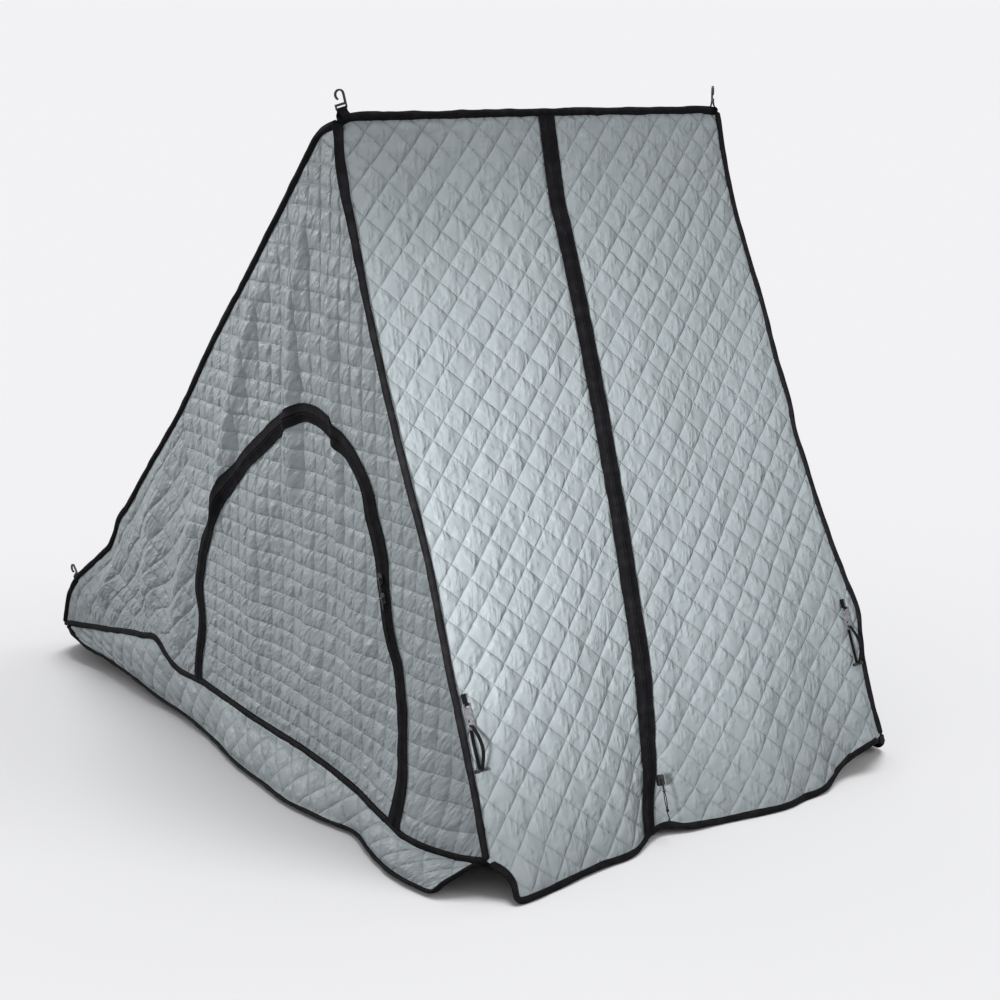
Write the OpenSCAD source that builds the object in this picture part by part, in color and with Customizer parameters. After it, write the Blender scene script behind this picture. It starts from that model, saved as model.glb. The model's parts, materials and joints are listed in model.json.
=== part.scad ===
// Quilted inner tent for a wedge shaped roof tent.
// A ridge hangs from hooks, a steep front opens along a full height zip,
// each gable has a curved zipped door, and a long back slope runs to the floor.
// Millimetres. +Z is up, the front faces -Y, and the origin is on the floor
// at the middle of the footprint.

/* [Tent] */
// Length of the ridge
ridge_w = 1200; // [1100:10:1300]
// Width between the corners at the sill
base_w = 1280; // [1240:10:1400]
// Height of the ridge above the floor
ridge_h = 1664; // [1600:4:1750]
// Height of the sill seam above the floor
sill_h = 96; // [90:1:110]
// Level distance from the ridge to the front sill
front_run = 626; // [600:1:660]
// Level distance from the ridge to the back sill
back_run = 1562; // [1500:1:1620]
// Thickness of the quilted fabric
quilt_t = 8; // [7:0.5:9]
// How far the side skirts stand out at the floor
skirt_flare = 60; // [20:1:70]

/* [Bindings] */
// Thickness of the bound seams
binding_d = 16; // [12:1:16]
// Thickness of the bound hems
hem_d = 14; // [10:1:14]
// Length of hem cut away at the front left corner
notch_left = 60; // [50:1:80]
// Length of hem cut away at the front right corner
notch_right = 230; // [200:1:260]

/* [Front zip] */
// Where the zip meets the floor, left of the middle
zip_foot_x = -130; // [-160:1:-80]
// Width of each zip tape
tape_w = 25; // [22:1:28]
// Distance from the ridge down to where the flaps' folds meet
fold_drop = 150; // [130:1:170]
// Height of the closed slider along the zip
front_slider_y = 155; // [145:1:170]

/* [Doors] */
// Front foot of the door zip, ahead of the ridge
door_foot_u = 365; // [355:1:375]
// Height of the straight front leg of the door zip
door_leg_v = 709; // [700:1:720]
// Height of the door
door_h = 875; // [865:1:885]
// Back foot of the door zip, behind the ridge
door_back_u = 672; // [660:1:690]
// Lower slider, measured up the leg
low_slider_y = 515; // [505:1:520]
// Upper slider, measured up the leg
high_slider_y = 560; // [555:1:570]

/* [Hooks] */
// Inside radius of a hook
hook_r = 9; // [8:0.5:10]
// Width of the webbing that holds a hook
webbing_w = 25; // [25:0.5:26]
// Distance of the lower hooks from the back corners, up the slope
low_hook_s = 185; // [170:1:230]

/* [Straps] */
// Height of the strap anchors above the sill, up the slope
strap_s = 335; // [320:1:350]
// Length of the strap legs
strap_len = 96; // [90:1:105]

/* [Hidden] */

quilt_grey = [0.62, 0.65, 0.67];
trim_black = [0.08, 0.08, 0.09];
plastic_black = [0.12, 0.12, 0.13];
smoke = [0.2, 0.2, 0.22];
zinc = [0.25, 0.25, 0.27];

// Places and slopes of the panels
rise = ridge_h - sill_h;
ridge_y = (front_run - back_run) / 2;
front_y = ridge_y - front_run;
back_y = ridge_y + back_run;
half_base = base_w / 2;
half_ridge = ridge_w / 2;
lean = half_base - half_ridge;
front_s = norm([front_run, rise]);
back_s = norm([back_run, rise]);
gable_s = norm([lean, rise]);
floor_flare = sill_h * front_run / rise;
skirt_s = norm([skirt_flare, sill_h]);
back_skirt_s = norm([floor_flare, sill_h]);
half_t = quilt_t / 2;

// Seams: panels stop short of a seam, and its binding fills the space
seam_gap = binding_d / 2 + 1;
seam_end = 22;
hem_r = hem_d / 2;
hem_lift = 1;
hem_flat = 1;
fuller = 0.5;
hem_gap = hem_r + 1;
floor_s = -sill_h * front_s / rise;
flap_hem_s = (hem_r + hem_lift - sill_h) * front_s / rise;
skirt_hem_v = -(sill_h - hem_r + hem_flat) * skirt_s / sill_h;
back_hem_v = -(sill_h - hem_r + hem_flat) * back_skirt_s / sill_h;
skirt_back_taper = 200;
skirt_front_cut = 85;

// Zips: tapes lie on the outer face, with a coil along each inner edge
tape_t = 1.6;
coil_gap = 1.5;
coil_w = 3;
coil_t = 3.2;
channel = 12;
bay = 10.5;
mid_n = half_t + tape_t / 2;
zip_len = norm([zip_foot_x, front_s - floor_s]);
zip_lean = atan2(-zip_foot_x, front_s - floor_s);
fold_y = zip_len - fold_drop;
tip_cut = 86;
bay_top = 55;
flap_corner = 30;
fold_slit = 1;

// Sliders and their pulls
slider_w = 18;
slider_l = 26;
wing_t = 1.8;
wing_gap = 4.8;
bridge_w = 2;
bridge_l = 6;
pin_r = 1.2;
pin_n = 7;
cheek_in = 2.9;
cheek_t = 1.5;
tab_w = 5;
tab_t = 1.6;
tab_l = 26;
tab_eye_r = 1.4;
cord_d = 2.2;
knot_y = -71.6;
knot_r = 4;
tail_l = 22;

// Hooks
hook_t = 5;
hook_rod = 4;
hook_turn = 235;
hook_bar_r = 2;
web_t = 1.7;
web_in_r = 2.3;
hook_slot = 4.6;
hook_post = 2.2;
hook_shank = 24;
tab_drop = 16;
back_tab_drop = 46;
tab_sunk = 3;

// Straps
strap_x = 24;
strap_lift = 4.8;
anchor_w = 12;
anchor_l = 24;
loop_r = 1.9;
loop_wall = 1.5;
strap_pin_r = 1.6;
buckle_w = 20;
buckle_l = 58;
buckle_t = 3;
strap_w = 10;
strap_t = 1.6;
toggle_d = 8;
toggle_l = 32;

function frame(o, u, v, n) = [
  [u.x, v.x, n.x, o.x],
  [u.y, v.y, n.y, o.y],
  [u.z, v.z, n.z, o.z],
  [0, 0, 0, 1]
];

function unit(v) = v / norm(v);

// Local x runs along the sill, y up the panel and z out of the tent
module on_front() {
  v = unit([0, front_run, rise]);
  multmatrix(frame([0, front_y, sill_h], [1, 0, 0], v, cross([1, 0, 0], v))) children();
}

module on_back() {
  v = unit([0, -back_run, rise]);
  multmatrix(frame([0, back_y, sill_h], [-1, 0, 0], v, cross([-1, 0, 0], v))) children();
}

module on_back_skirt() {
  v = unit([0, -floor_flare, sill_h]);
  multmatrix(frame([0, back_y, sill_h], [-1, 0, 0], v, cross([-1, 0, 0], v))) children();
}

module on_left_gable() {
  v = unit([lean, 0, rise]);
  multmatrix(frame([-half_base, ridge_y, sill_h], [0, -1, 0], v, cross([0, -1, 0], v))) children();
}

module on_left_skirt() {
  v = unit([skirt_flare, 0, sill_h]);
  multmatrix(frame([-half_base, ridge_y, sill_h], [0, -1, 0], v, cross([0, -1, 0], v))) children();
}

// Side -1 is the left and 1 the right: the gables are a mirrored pair
module for_side(side) {
  if (side < 0) children();
  else mirror([1, 0, 0]) children();
}

module slab(points, low = -half_t, high = half_t) {
  translate([0, 0, low]) linear_extrude(high - low) polygon(points);
}

// A round binding along straight runs, with a slightly fuller ball at each inner corner
module piping(points, r) {
  for (i = [0 : len(points) - 2]) {
    a = points[i];
    d = points[i + 1] - a;
    turn = atan2(d.y, d.x);
    tilt = acos(d.z / norm(d));
    translate(a) rotate([0, tilt, turn]) cylinder(h = norm(d), r = r, $fn = 32);
    if (i > 0) translate(a) sphere(r = r + fuller, $fn = 32);
  }
}

function along(a, b, d) = a + unit(b - a) * d;
function shortened(a, b, d) = [along(a, b, d), along(b, a, d)];

ridge_end = [half_ridge, ridge_y, ridge_h];
front_corner = [half_base, front_y, sill_h];
back_corner = [half_base, back_y, sill_h];
function on_side(p, side) = [side * p.x, p.y, p.z];

// Half width of the front and back panels at a height up the slope
function half_w(s, slope) = half_base - lean * s / slope;

// The front zip line, and the fold line from its top to each front corner
function zip_x(s) = zip_foot_x * (front_s - s) / (front_s - floor_s);
fold_top = [zip_x(floor_s + fold_y * cos(zip_lean)), floor_s + fold_y * cos(zip_lean)];
function fold_x(s, side) = side * half_base + (fold_top.x - side * half_base) * s / fold_top.y;
function fold_at(x, side) = fold_top.y * (x - side * half_base) / (fold_top.x - side * half_base);
tip_s = fold_top.y - tip_cut;
slit_x = fold_slit / cos(atan2(half_base, fold_top.y));
channel_x = channel / cos(zip_lean);

module on_zip(y) {
  on_front() translate([zip_foot_x, floor_s, 0]) rotate([0, 0, -zip_lean]) translate([0, y, 0]) children();
}

module front_panel(side) {
  color(quilt_grey) on_front() slab([
    [side * (half_w(0, front_s) - seam_gap), fold_at(side * (half_w(0, front_s) - seam_gap), side)
      + seam_gap],
    [fold_x(tip_s, side) + side * slit_x, tip_s],
    [zip_x(tip_s) + side * channel_x, tip_s],
    [zip_x(front_s) + side * channel_x, front_s - seam_gap],
    [side * (half_w(front_s, front_s) - seam_gap), front_s - seam_gap]
  ]);
}

module front_flap(side) {
  notch = side < 0 ? notch_left : notch_right;
  corner_x = side * (half_base - flap_corner - hem_gap - 1);
  hem_s = flap_hem_s + hem_gap;
  color(quilt_grey) on_front() slab([
    [zip_x(tip_s) + side * channel_x, tip_s - 2],
    [fold_x(tip_s, side) - side * slit_x, tip_s - 2],
    [corner_x, fold_at(corner_x, side) - 2 * slit_x],
    [corner_x, -hem_gap],
    [side * (half_base - notch - hem_gap - 1), hem_s],
    [zip_x(hem_s) + side * channel_x, hem_s]
  ]);
}

// The flap's hem follows the floor, then climbs the corner cut
module front_hem(side) {
  notch = side < 0 ? notch_left : notch_right;
  foot = [side * (half_base - notch), flap_hem_s, 0];
  head = [side * (half_base - flap_corner), -hem_gap - hem_gap, 0];
  start = [zip_x(flap_hem_s) + side * channel_x, flap_hem_s, 0];
  color(trim_black) on_front() piping([start, foot, head], hem_r);
}

// One tape with its coil, in the zip's own frame, between heights a and b
module tape(side, a, b) {
  x0 = side < 0 ? -tape_w : coil_gap;
  coil_x = side < 0 ? -coil_gap - coil_w : coil_gap;
  translate([x0, a, half_t]) cube([tape_w - coil_gap, b - a, tape_t]);
  translate([coil_x, a, mid_n - coil_t / 2]) cube([coil_w, b - a, coil_t]);
}

module front_tape(side) {
  x0 = side < 0 ? -tape_w : bay;
  bay_end = front_slider_y + bay_top;
  tip_y = fold_y - tip_cut - 2;
  low_y = hem_gap + hem_r + 4;
  color(trim_black) on_zip(0) {
    tape(side, bay_end, tip_y);
    translate([x0, low_y, half_t]) cube([tape_w - bay, bay_end - low_y, tape_t]);
  }
}

module front_zip_top() {
  color(trim_black) on_zip(0) {
    tape(-1, fold_y - tip_cut, zip_len - seam_gap - 1);
    tape(1, fold_y - tip_cut, zip_len - seam_gap - 1);
  }
}

// The door zip runs up a straight leg, over a curved head and down the back
leg_dir = unit([-199, 709]);
leg_top = [door_foot_u, 0] + leg_dir * door_leg_v / leg_dir.y;
head = [-90, door_h];
back_top = [-door_back_u, 290];
function bezier(a, b, c, d, t) =
  a * pow(1 - t, 3) + 3 * b * t * pow(1 - t, 2) + 3 * c * t * t * (1 - t) + d * pow(t, 3);
door_line = concat(
  [[door_foot_u, 0]],
  [for (t = [0 : 0.2 : 0.99]) bezier(leg_top, leg_top + 90 * leg_dir, head + [90, 0], head, t)],
  [for (t = [0 : 0.1 : 1.01]) bezier(head, head - [170, 0], back_top + [0, 230], back_top, t)],
  [[-door_back_u, 0]]
);

// The same line moved out of the door by d; its ends stay level with the sill
function across(path, i) =
  let (a = path[max(i - 1, 0)], b = path[min(i + 1, len(path) - 1)], t = unit(b - a)) [t.y, -t.x];
function moved(path, d) = [for (i = [0 : len(path) - 1]) path[i] + d * across(path, i)];
function level(path, v) = [
  for (i = [0 : len(path) - 1]) i == 0 || i == len(path) - 1 ? [path[i].x, v] : path[i]
];
function reversed(path) = [for (i = [len(path) - 1 : -1 : 0]) path[i]];
function band(d0, d1, v) = concat(level(moved(door_line, d0), v), reversed(level(moved(door_line, d1), v)));

// The gable is a triangle, drawn in from its seams towards its inner centre
gable_points = [[front_run, 0], [0, gable_s], [-back_run, 0]];
gable_sides = [
  norm(gable_points[1] - gable_points[2]),
  norm(gable_points[2] - gable_points[0]),
  norm(gable_points[0] - gable_points[1])
];
gable_round = gable_sides[0] + gable_sides[1] + gable_sides[2];
gable_centre = gable_sides * gable_points / gable_round;
gable_inner_r = (front_run + back_run) * gable_s / gable_round;
gable_scale = 1 - seam_gap / gable_inner_r;
gable_outline = [for (p = gable_points) gable_centre + (p - gable_centre) * gable_scale];

door_foot_v = 12;
bay_low = 40;
bay_high = high_slider_y + 100;

module gable(side) {
  color(quilt_grey) for_side(side) on_left_gable() difference() {
    slab(gable_outline);
    slab(level(moved(door_line, channel), -seam_gap), -quilt_t, quilt_t);
  }
}

module door(side) {
  color(quilt_grey) for_side(side) on_left_gable() slab(level(moved(door_line, -channel), door_foot_v));
}

module door_zip_frame(side) {
  foot = seam_gap + 1;
  color(trim_black) for_side(side) on_left_gable() {
    slab(band(coil_gap, tape_w, foot), half_t, half_t + tape_t);
    slab(band(coil_gap, coil_gap + coil_w, foot), mid_n - coil_t / 2, mid_n + coil_t / 2);
  }
}

// A recess down the front leg keeps the door clear of the sliders and pulls,
// and a slit at its top parts the leg's tape from the head's
module slider_bay() {
  translate([door_foot_u, 0, -quilt_t]) rotate([0, 0, atan2(leg_dir.y, leg_dir.x) - 90]) {
    translate([-bay, -bay_low, 0]) cube([3 * bay, bay_low + bay_high, 3 * quilt_t]);
    translate([-2 * tape_w, bay_high, 0]) cube([3 * tape_w, 1, 3 * quilt_t]);
  }
}

module door_zip_tape(side) {
  color(trim_black) for_side(side) on_left_gable() difference() {
    union() {
      slab(band(-tape_w, -coil_gap, door_foot_v), half_t, half_t + tape_t);
      slab(band(-coil_gap - coil_w, -coil_gap, door_foot_v), mid_n - coil_t / 2, mid_n + coil_t / 2);
    }
    slider_bay();
  }
}

// Places children on the straight leg of a door zip
module on_leg(side, y) {
  for_side(side) on_left_gable() translate([door_foot_u, 0, 0])
    rotate([0, 0, atan2(leg_dir.y, leg_dir.x) - 90]) translate([0, y, 0]) children();
}

// Slider: two wings round the coils, a bridge, and cheeks that hold the pull's pin
module slider() {
  color(zinc) {
    for (n = [mid_n - wing_gap / 2 - wing_t, mid_n + wing_gap / 2])
      translate([0, 0, n]) linear_extrude(wing_t) intersection() {
        square([slider_w, slider_l], center = true);
        circle(d = slider_l + 2, $fn = 48);
      }
    translate([-bridge_w / 2, slider_l / 2 - bridge_l - 1, mid_n - wing_gap / 2])
      cube([bridge_w, bridge_l, wing_gap]);
    translate([0, 0, mid_n + pin_n]) {
      for (x = [-cheek_in - cheek_t, cheek_in]) translate([x, 0, 0]) rotate([0, 90, 0]) cheek();
      translate([-cheek_in - 0.5, 0, 0]) rotate([0, 90, 0])
        cylinder(h = 2 * cheek_in + 1, r = pin_r, $fn = 32);
    }
  }
}

module cheek() {
  foot = pin_n - wing_gap / 2 - wing_t;
  cylinder(h = cheek_t, r = 2.6, $fn = 32);
  translate([0, -2.6, 0]) cube([foot, 5.2, cheek_t]);
}

module pull_tab() {
  color(zinc) translate([0, 0, mid_n + pin_n]) difference() {
    union() {
      translate([-tab_w / 2, 0, 0]) rotate([0, 90, 0]) cylinder(h = tab_w, r = 2.5, $fn = 32);
      translate([-tab_w / 2, -tab_l, -tab_t / 2]) cube([tab_w, tab_l, tab_t]);
      translate([0, -tab_l, -tab_t / 2]) cylinder(h = tab_t, r = 4.2, $fn = 32);
    }
    translate([-tab_w, 0, 0]) rotate([0, 90, 0]) cylinder(h = 2 * tab_w, r = tab_eye_r, $fn = 32);
    translate([0, -tab_l, -tab_t]) cylinder(h = 2 * tab_t, r = 2.4, $fn = 32);
  }
}

// Tube swept along points: rings of sides points, joined in turn
function ring(p, t, r, sides) =
  let (a = unit(cross(t, [0, 0, 1])), b = cross(a, t))
  [for (k = [0 : sides - 1]) p + r * (a * cos(360 * k / sides) + b * sin(360 * k / sides))];

module tube(route, r, sides) {
  last = len(route) - 1;
  points = [for (i = [0 : last])
    each ring(route[i], unit(route[min(i + 1, last)] - route[max(i - 1, 0)]), r, sides)];
  walls = [for (i = [0 : last - 1]) for (k = [0 : sides - 1])
    [i * sides + k, i * sides + (k + 1) % sides, (i + 1) * sides + (k + 1) % sides, (i + 1) * sides + k]];
  start = [for (k = [sides - 1 : -1 : 0]) k];
  finish = [for (k = [0 : sides - 1]) last * sides + k];
  polyhedron(points, concat([start], walls, [finish]));
}

// Each strand of a pull's cord drops from the tab's eye to the knot
strand_route = [
  [2.0, -31.6, 0], [2.2, -36, 0], [2.6, -41, 0], [2.8, -46, 0], [2.7, -51, 0],
  [2.4, -56, 0], [1.9, -61, 0], [1.5, -65, 0], [1.3, -67.5, 0]
];

module pull_cord() {
  color(trim_black) translate([0, 0, mid_n + pin_n]) for (side = [-1, 1])
    tube([for (p = strand_route) [side * p.x, p.y, p.z]], cord_d / 2, 8);
}

module pull_knot() {
  color(trim_black) translate([0, 0, mid_n + pin_n]) {
    translate([0, knot_y, 0]) sphere(r = knot_r, $fn = 32);
    translate([0, knot_y, 0]) rotate([90, 0, 0]) cylinder(h = tail_l, r = cord_d / 2, $fn = 24);
    translate([0, knot_y - tail_l + 6, 0]) rotate([90, 0, 0]) cylinder(h = 10, r1 = 1.4, r2 = 3, $fn = 24);
  }
}

// Hook: a bar for the webbing, a shank on one side and an open curl
module hook() {
  bar_l = webbing_w + 0.8 + 2 * hook_post;
  post_x = bar_l / 2 - hook_post;
  top_z = hook_bar_r + hook_slot;
  curl_x = post_x + hook_post - hook_rod / 2 - hook_r - hook_rod / 2;
  curl_z = top_z + hook_shank;
  color(plastic_black) {
    translate([-bar_l / 2, 0, 0]) rotate([0, 90, 0]) cylinder(h = bar_l, r = hook_bar_r, $fn = 32);
    for (x = [-post_x - hook_post, post_x]) translate([x, -hook_t / 2, 0])
      cube([hook_post, hook_t, top_z + 1]);
    translate([-bar_l / 2, -hook_t / 2, top_z]) cube([bar_l, hook_t, 5]);
    translate([post_x + hook_post - hook_rod, -hook_t / 2, top_z]) cube([hook_rod, hook_t, hook_shank]);
    translate([curl_x, 0, curl_z]) rotate([90, 0, 0]) translate([0, 0, -hook_t / 2])
      rotate_extrude(angle = hook_turn, $fn = 64) translate([hook_r, 0]) square([hook_rod, hook_t]);
  }
}

// Webbing wrapped round a hook's bar, with its two layers sewn down below
module hook_tab(drop) {
  color(trim_black) translate([-webbing_w / 2, 0, 0]) {
    rotate([0, 90, 0]) rotate([0, 0, 90]) rotate_extrude(angle = 180, $fn = 48)
      translate([web_in_r, 0]) square([web_t, webbing_w]);
    for (y = [-web_in_r - web_t, web_in_r]) translate([0, y, -drop]) cube([webbing_w, web_t, drop]);
  }
}

// Where each hook sits: above the ridge ends, and out of the back corner seams
ridge_hook_z = ridge_h + binding_d / 2 + tab_drop - tab_sunk;
hook_lean = 14;
right_turn = 53;
ridge_hook_in = 22;
module at_ridge_hook(side) {
  if (side < 0) translate([-half_ridge + ridge_hook_in, ridge_y, ridge_hook_z]) rotate([0, -hook_lean, 0])
    children();
  else translate([half_ridge - ridge_hook_in, ridge_y, ridge_hook_z]) rotate([0, 0, right_turn]) children();
}

module at_back_hook(side) {
  reach = binding_d / 2 + back_tab_drop - tab_sunk;
  for_side(side) on_back() translate([half_w(low_hook_s, back_s), low_hook_s, reach])
    rotate([0, 0, 90]) children();
}

// Strap set: a loop on the seam holds a buckle, two strap legs and a toggle
module at_strap(side) {
  on_front() translate([side * (half_w(strap_s, front_s) - strap_x), strap_s, half_t + strap_lift]) children();
}

module strap_anchor() {
  color(trim_black) difference() {
    union() {
      translate([-anchor_w / 2, 0, 0]) rotate([0, 90, 0])
        cylinder(h = anchor_w, r = loop_r + loop_wall, $fn = 32);
      translate([-anchor_w / 2, 0, -strap_lift]) cube([anchor_w, anchor_l, strap_lift - loop_r]);
    }
    translate([-anchor_w, 0, 0]) rotate([0, 90, 0]) cylinder(h = 2 * anchor_w, r = loop_r, $fn = 32);
  }
}

module strap_buckle() {
  post = 2;
  post_x = anchor_w / 2 + 0.6;
  low_y = -buckle_l;
  color(smoke) {
    translate([-post_x - post, 0, 0]) rotate([0, 90, 0])
      cylinder(h = 2 * (post_x + post), r = strap_pin_r, $fn = 32);
    for (x = [-post_x - post, post_x]) translate([x, -16, -buckle_t / 2]) cube([post, 16, buckle_t]);
    translate([0, 0, -buckle_t / 2]) linear_extrude(buckle_t) difference() {
      union() {
        translate([0, -6 - buckle_w / 2]) circle(d = buckle_w, $fn = 64);
        translate([0, low_y + buckle_w / 2]) circle(d = buckle_w, $fn = 64);
        translate([-buckle_w / 2, low_y + buckle_w / 2]) square([buckle_w, buckle_l - buckle_w - 6]);
      }
      translate([-strap_w / 2 - 1, low_y + 8]) square([strap_w + 2, 5]);
      translate([-strap_w / 2 - 1, low_y + 18]) square([strap_w + 2, 5]);
      translate([0, -4]) circle(r = loop_r + loop_wall + 2, $fn = 48);
    }
  }
}

module strap_loop() {
  top_y = -buckle_l + 10.5;
  n = buckle_t / 2 + 0.1;
  color(trim_black) for (z = [-n - strap_t, n]) translate([-strap_w / 2, top_y - strap_len, z])
    cube([strap_w, strap_len, strap_t]);
}

module strap_toggle() {
  y = -buckle_l + 10.5 - strap_len - toggle_d / 2 - 0.2;
  color(plastic_black) translate([-toggle_l / 2, y, 0]) rotate([0, 90, 0]) {
    cylinder(h = toggle_l, d = toggle_d - 2, $fn = 32);
    for (z = [0, toggle_l - 5]) translate([0, 0, z]) cylinder(h = 5, d = toggle_d, $fn = 32);
  }
}

module back_panel() {
  low = half_w(0, back_s) - seam_gap;
  high = half_w(back_s, back_s) - seam_gap;
  color(quilt_grey) on_back() slab([
    [-low, seam_gap], [low, seam_gap], [high, back_s - seam_gap], [-high, back_s - seam_gap]
  ]);
}

module side_skirt(side) {
  foot = skirt_hem_v + hem_gap;
  color(quilt_grey) for_side(side) on_left_skirt() slab([
    [-back_run + 2 * seam_end + 3, -seam_gap],
    [front_run - seam_end - hem_gap, -seam_gap],
    [front_run - skirt_front_cut - 2, foot],
    [-back_run + skirt_back_taper + 2, foot]
  ]);
}

module back_skirt() {
  foot = back_hem_v + hem_gap;
  color(quilt_grey) on_back_skirt() slab([
    [-half_base + seam_end + hem_gap, -seam_gap],
    [half_base - seam_end - hem_gap, -seam_gap],
    [half_base - skirt_front_cut - 2, foot],
    [-half_base + skirt_front_cut + 2, foot]
  ]);
}

// The hems of the skirts are pressed flat where they lie on the floor
module hem_bindings() {
  color(trim_black) difference() {
    skirt_hems();
    translate([-base_w, -base_w, -base_w]) cube([2 * base_w, 2 * base_w, base_w]);
  }
}

module skirt_hems() {
  for (side = [-1, 1]) for_side(side) on_left_skirt() piping([
    [front_run - seam_end, -2 * seam_gap, 0],
    [front_run - skirt_front_cut + hem_gap, skirt_hem_v, 0],
    [-back_run + skirt_back_taper - hem_gap, skirt_hem_v, 0],
    [-back_run + 2 * seam_end, -2 * seam_gap, 0]
  ], hem_r);
  on_back_skirt() piping([
    [half_base - seam_end, -2 * seam_gap, 0],
    [half_base - skirt_front_cut + hem_gap, back_hem_v, 0],
    [-half_base + skirt_front_cut - hem_gap, back_hem_v, 0],
    [-half_base + seam_end, -2 * seam_gap, 0]
  ], hem_r);
}

module sill_bindings() {
  color(trim_black) {
    for (side = [-1, 1])
      piping(shortened(on_side(front_corner, side), on_side(back_corner, side), seam_end), binding_d / 2);
    piping(shortened(on_side(back_corner, -1), back_corner, seam_end), binding_d / 2);
  }
}

module corner_bindings_front() {
  color(trim_black) for (side = [-1, 1])
    piping(shortened(on_side(front_corner, side), on_side(ridge_end, side), seam_end), binding_d / 2);
}

module corner_bindings_back() {
  color(trim_black) for (side = [-1, 1])
    piping(shortened(on_side(back_corner, side), on_side(ridge_end, side), seam_end), binding_d / 2);
}

module ridge_binding() {
  color(trim_black) piping(shortened(on_side(ridge_end, -1), ridge_end, 2), binding_d / 2);
}

module hook_tabs() {
  for (side = [-1, 1]) {
    at_ridge_hook(side) hook_tab(tab_drop);
    at_back_hook(side) hook_tab(back_tab_drop);
  }
}

back_panel();
front_panel(-1);  // front_panel_left
front_panel(1);  // front_panel_right
gable(-1);  // gable_left
gable(1);  // gable_right
side_skirt(-1);  // skirt_left
side_skirt(1);  // skirt_right
back_skirt();  // skirt_back
ridge_binding();
corner_bindings_front();
corner_bindings_back();
sill_bindings();
hem_bindings();
front_zip_top();
door_zip_frame(-1);  // door_zip_frame_left
door_zip_frame(1);  // door_zip_frame_right
hook_tabs();
for (side = [-1, 1]) at_strap(side) strap_anchor();  // strap_anchors
front_flap(-1);  // front_flap_left
front_tape(-1);  // front_zip_tape_left
front_hem(-1);  // front_hem_left
front_flap(1);  // front_flap_right
front_tape(1);  // front_zip_tape_right
front_hem(1);  // front_hem_right
on_zip(front_slider_y) slider();  // front_slider
on_zip(front_slider_y) pull_tab();  // front_pull_tab
on_zip(front_slider_y) pull_cord();  // front_pull_cord
on_zip(front_slider_y) pull_knot();  // front_pull_knot
door(-1);  // door_left
door_zip_tape(-1);  // door_zip_tape_left
on_leg(-1, high_slider_y) slider();  // door_slider_high_left
on_leg(-1, high_slider_y) pull_tab();  // door_pull_tab_high_left
on_leg(-1, low_slider_y) slider();  // door_slider_low_left
on_leg(-1, low_slider_y) pull_tab();  // door_pull_tab_low_left
on_leg(-1, low_slider_y) pull_cord();  // door_pull_cord_left
on_leg(-1, low_slider_y) pull_knot();  // door_pull_knot_left
door(1);  // door_right
door_zip_tape(1);  // door_zip_tape_right
on_leg(1, high_slider_y) slider();  // door_slider_high_right
on_leg(1, high_slider_y) pull_tab();  // door_pull_tab_high_right
on_leg(1, low_slider_y) slider();  // door_slider_low_right
on_leg(1, low_slider_y) pull_tab();  // door_pull_tab_low_right
on_leg(1, low_slider_y) pull_cord();  // door_pull_cord_right
on_leg(1, low_slider_y) pull_knot();  // door_pull_knot_right
at_ridge_hook(-1) hook();  // hook_ridge_left
at_ridge_hook(1) hook();  // hook_ridge_right
at_back_hook(-1) hook();  // hook_back_left
at_back_hook(1) hook();  // hook_back_right
at_strap(-1) strap_buckle();  // strap_buckle_left
at_strap(-1) strap_loop();  // strap_loop_left
at_strap(-1) strap_toggle();  // strap_toggle_left
at_strap(1) strap_buckle();  // strap_buckle_right
at_strap(1) strap_loop();  // strap_loop_right
at_strap(1) strap_toggle();  // strap_toggle_right
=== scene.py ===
"""Quilted inner tent: the fabric, bindings, zips, cords and hooks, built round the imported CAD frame.

Each panel is a sheet laid out on its own plane and then pulled to the seams that it shares with
its neighbours, so panels meet wherever a seam wanders. Metres, in the CAD's frame: +Z is up, the
front faces -Y, and the origin is on the floor at the middle of the footprint.
"""

import json
import math

import bpy
import numpy as np
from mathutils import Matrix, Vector

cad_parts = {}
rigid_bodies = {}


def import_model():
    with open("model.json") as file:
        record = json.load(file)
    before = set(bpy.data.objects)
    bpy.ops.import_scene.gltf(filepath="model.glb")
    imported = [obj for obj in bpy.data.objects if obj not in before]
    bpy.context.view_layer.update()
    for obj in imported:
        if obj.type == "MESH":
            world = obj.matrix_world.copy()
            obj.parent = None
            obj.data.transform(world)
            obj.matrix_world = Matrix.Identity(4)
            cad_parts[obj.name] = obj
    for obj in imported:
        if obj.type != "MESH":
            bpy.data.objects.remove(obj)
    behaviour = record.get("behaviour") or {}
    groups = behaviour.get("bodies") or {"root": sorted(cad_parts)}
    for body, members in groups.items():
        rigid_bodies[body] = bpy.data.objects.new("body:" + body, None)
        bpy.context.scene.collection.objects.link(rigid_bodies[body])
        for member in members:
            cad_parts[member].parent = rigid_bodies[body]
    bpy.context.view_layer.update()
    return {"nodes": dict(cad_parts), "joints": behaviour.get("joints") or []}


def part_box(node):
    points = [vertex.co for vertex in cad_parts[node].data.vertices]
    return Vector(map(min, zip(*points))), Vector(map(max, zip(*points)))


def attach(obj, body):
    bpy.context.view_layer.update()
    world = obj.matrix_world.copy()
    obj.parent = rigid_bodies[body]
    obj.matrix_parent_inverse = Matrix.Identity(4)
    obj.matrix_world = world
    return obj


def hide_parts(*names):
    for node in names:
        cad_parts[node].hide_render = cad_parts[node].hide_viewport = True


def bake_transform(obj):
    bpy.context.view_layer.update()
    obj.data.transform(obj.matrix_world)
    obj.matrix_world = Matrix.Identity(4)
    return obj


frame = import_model()
joints = {joint["name"]: joint for joint in frame["joints"]}

SIDES = ((-1, "left"), (1, "right"))
# Metres between the rings of a tube and the rows of a tape
STEP = 0.006


# -------- places, read from the frame

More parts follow.
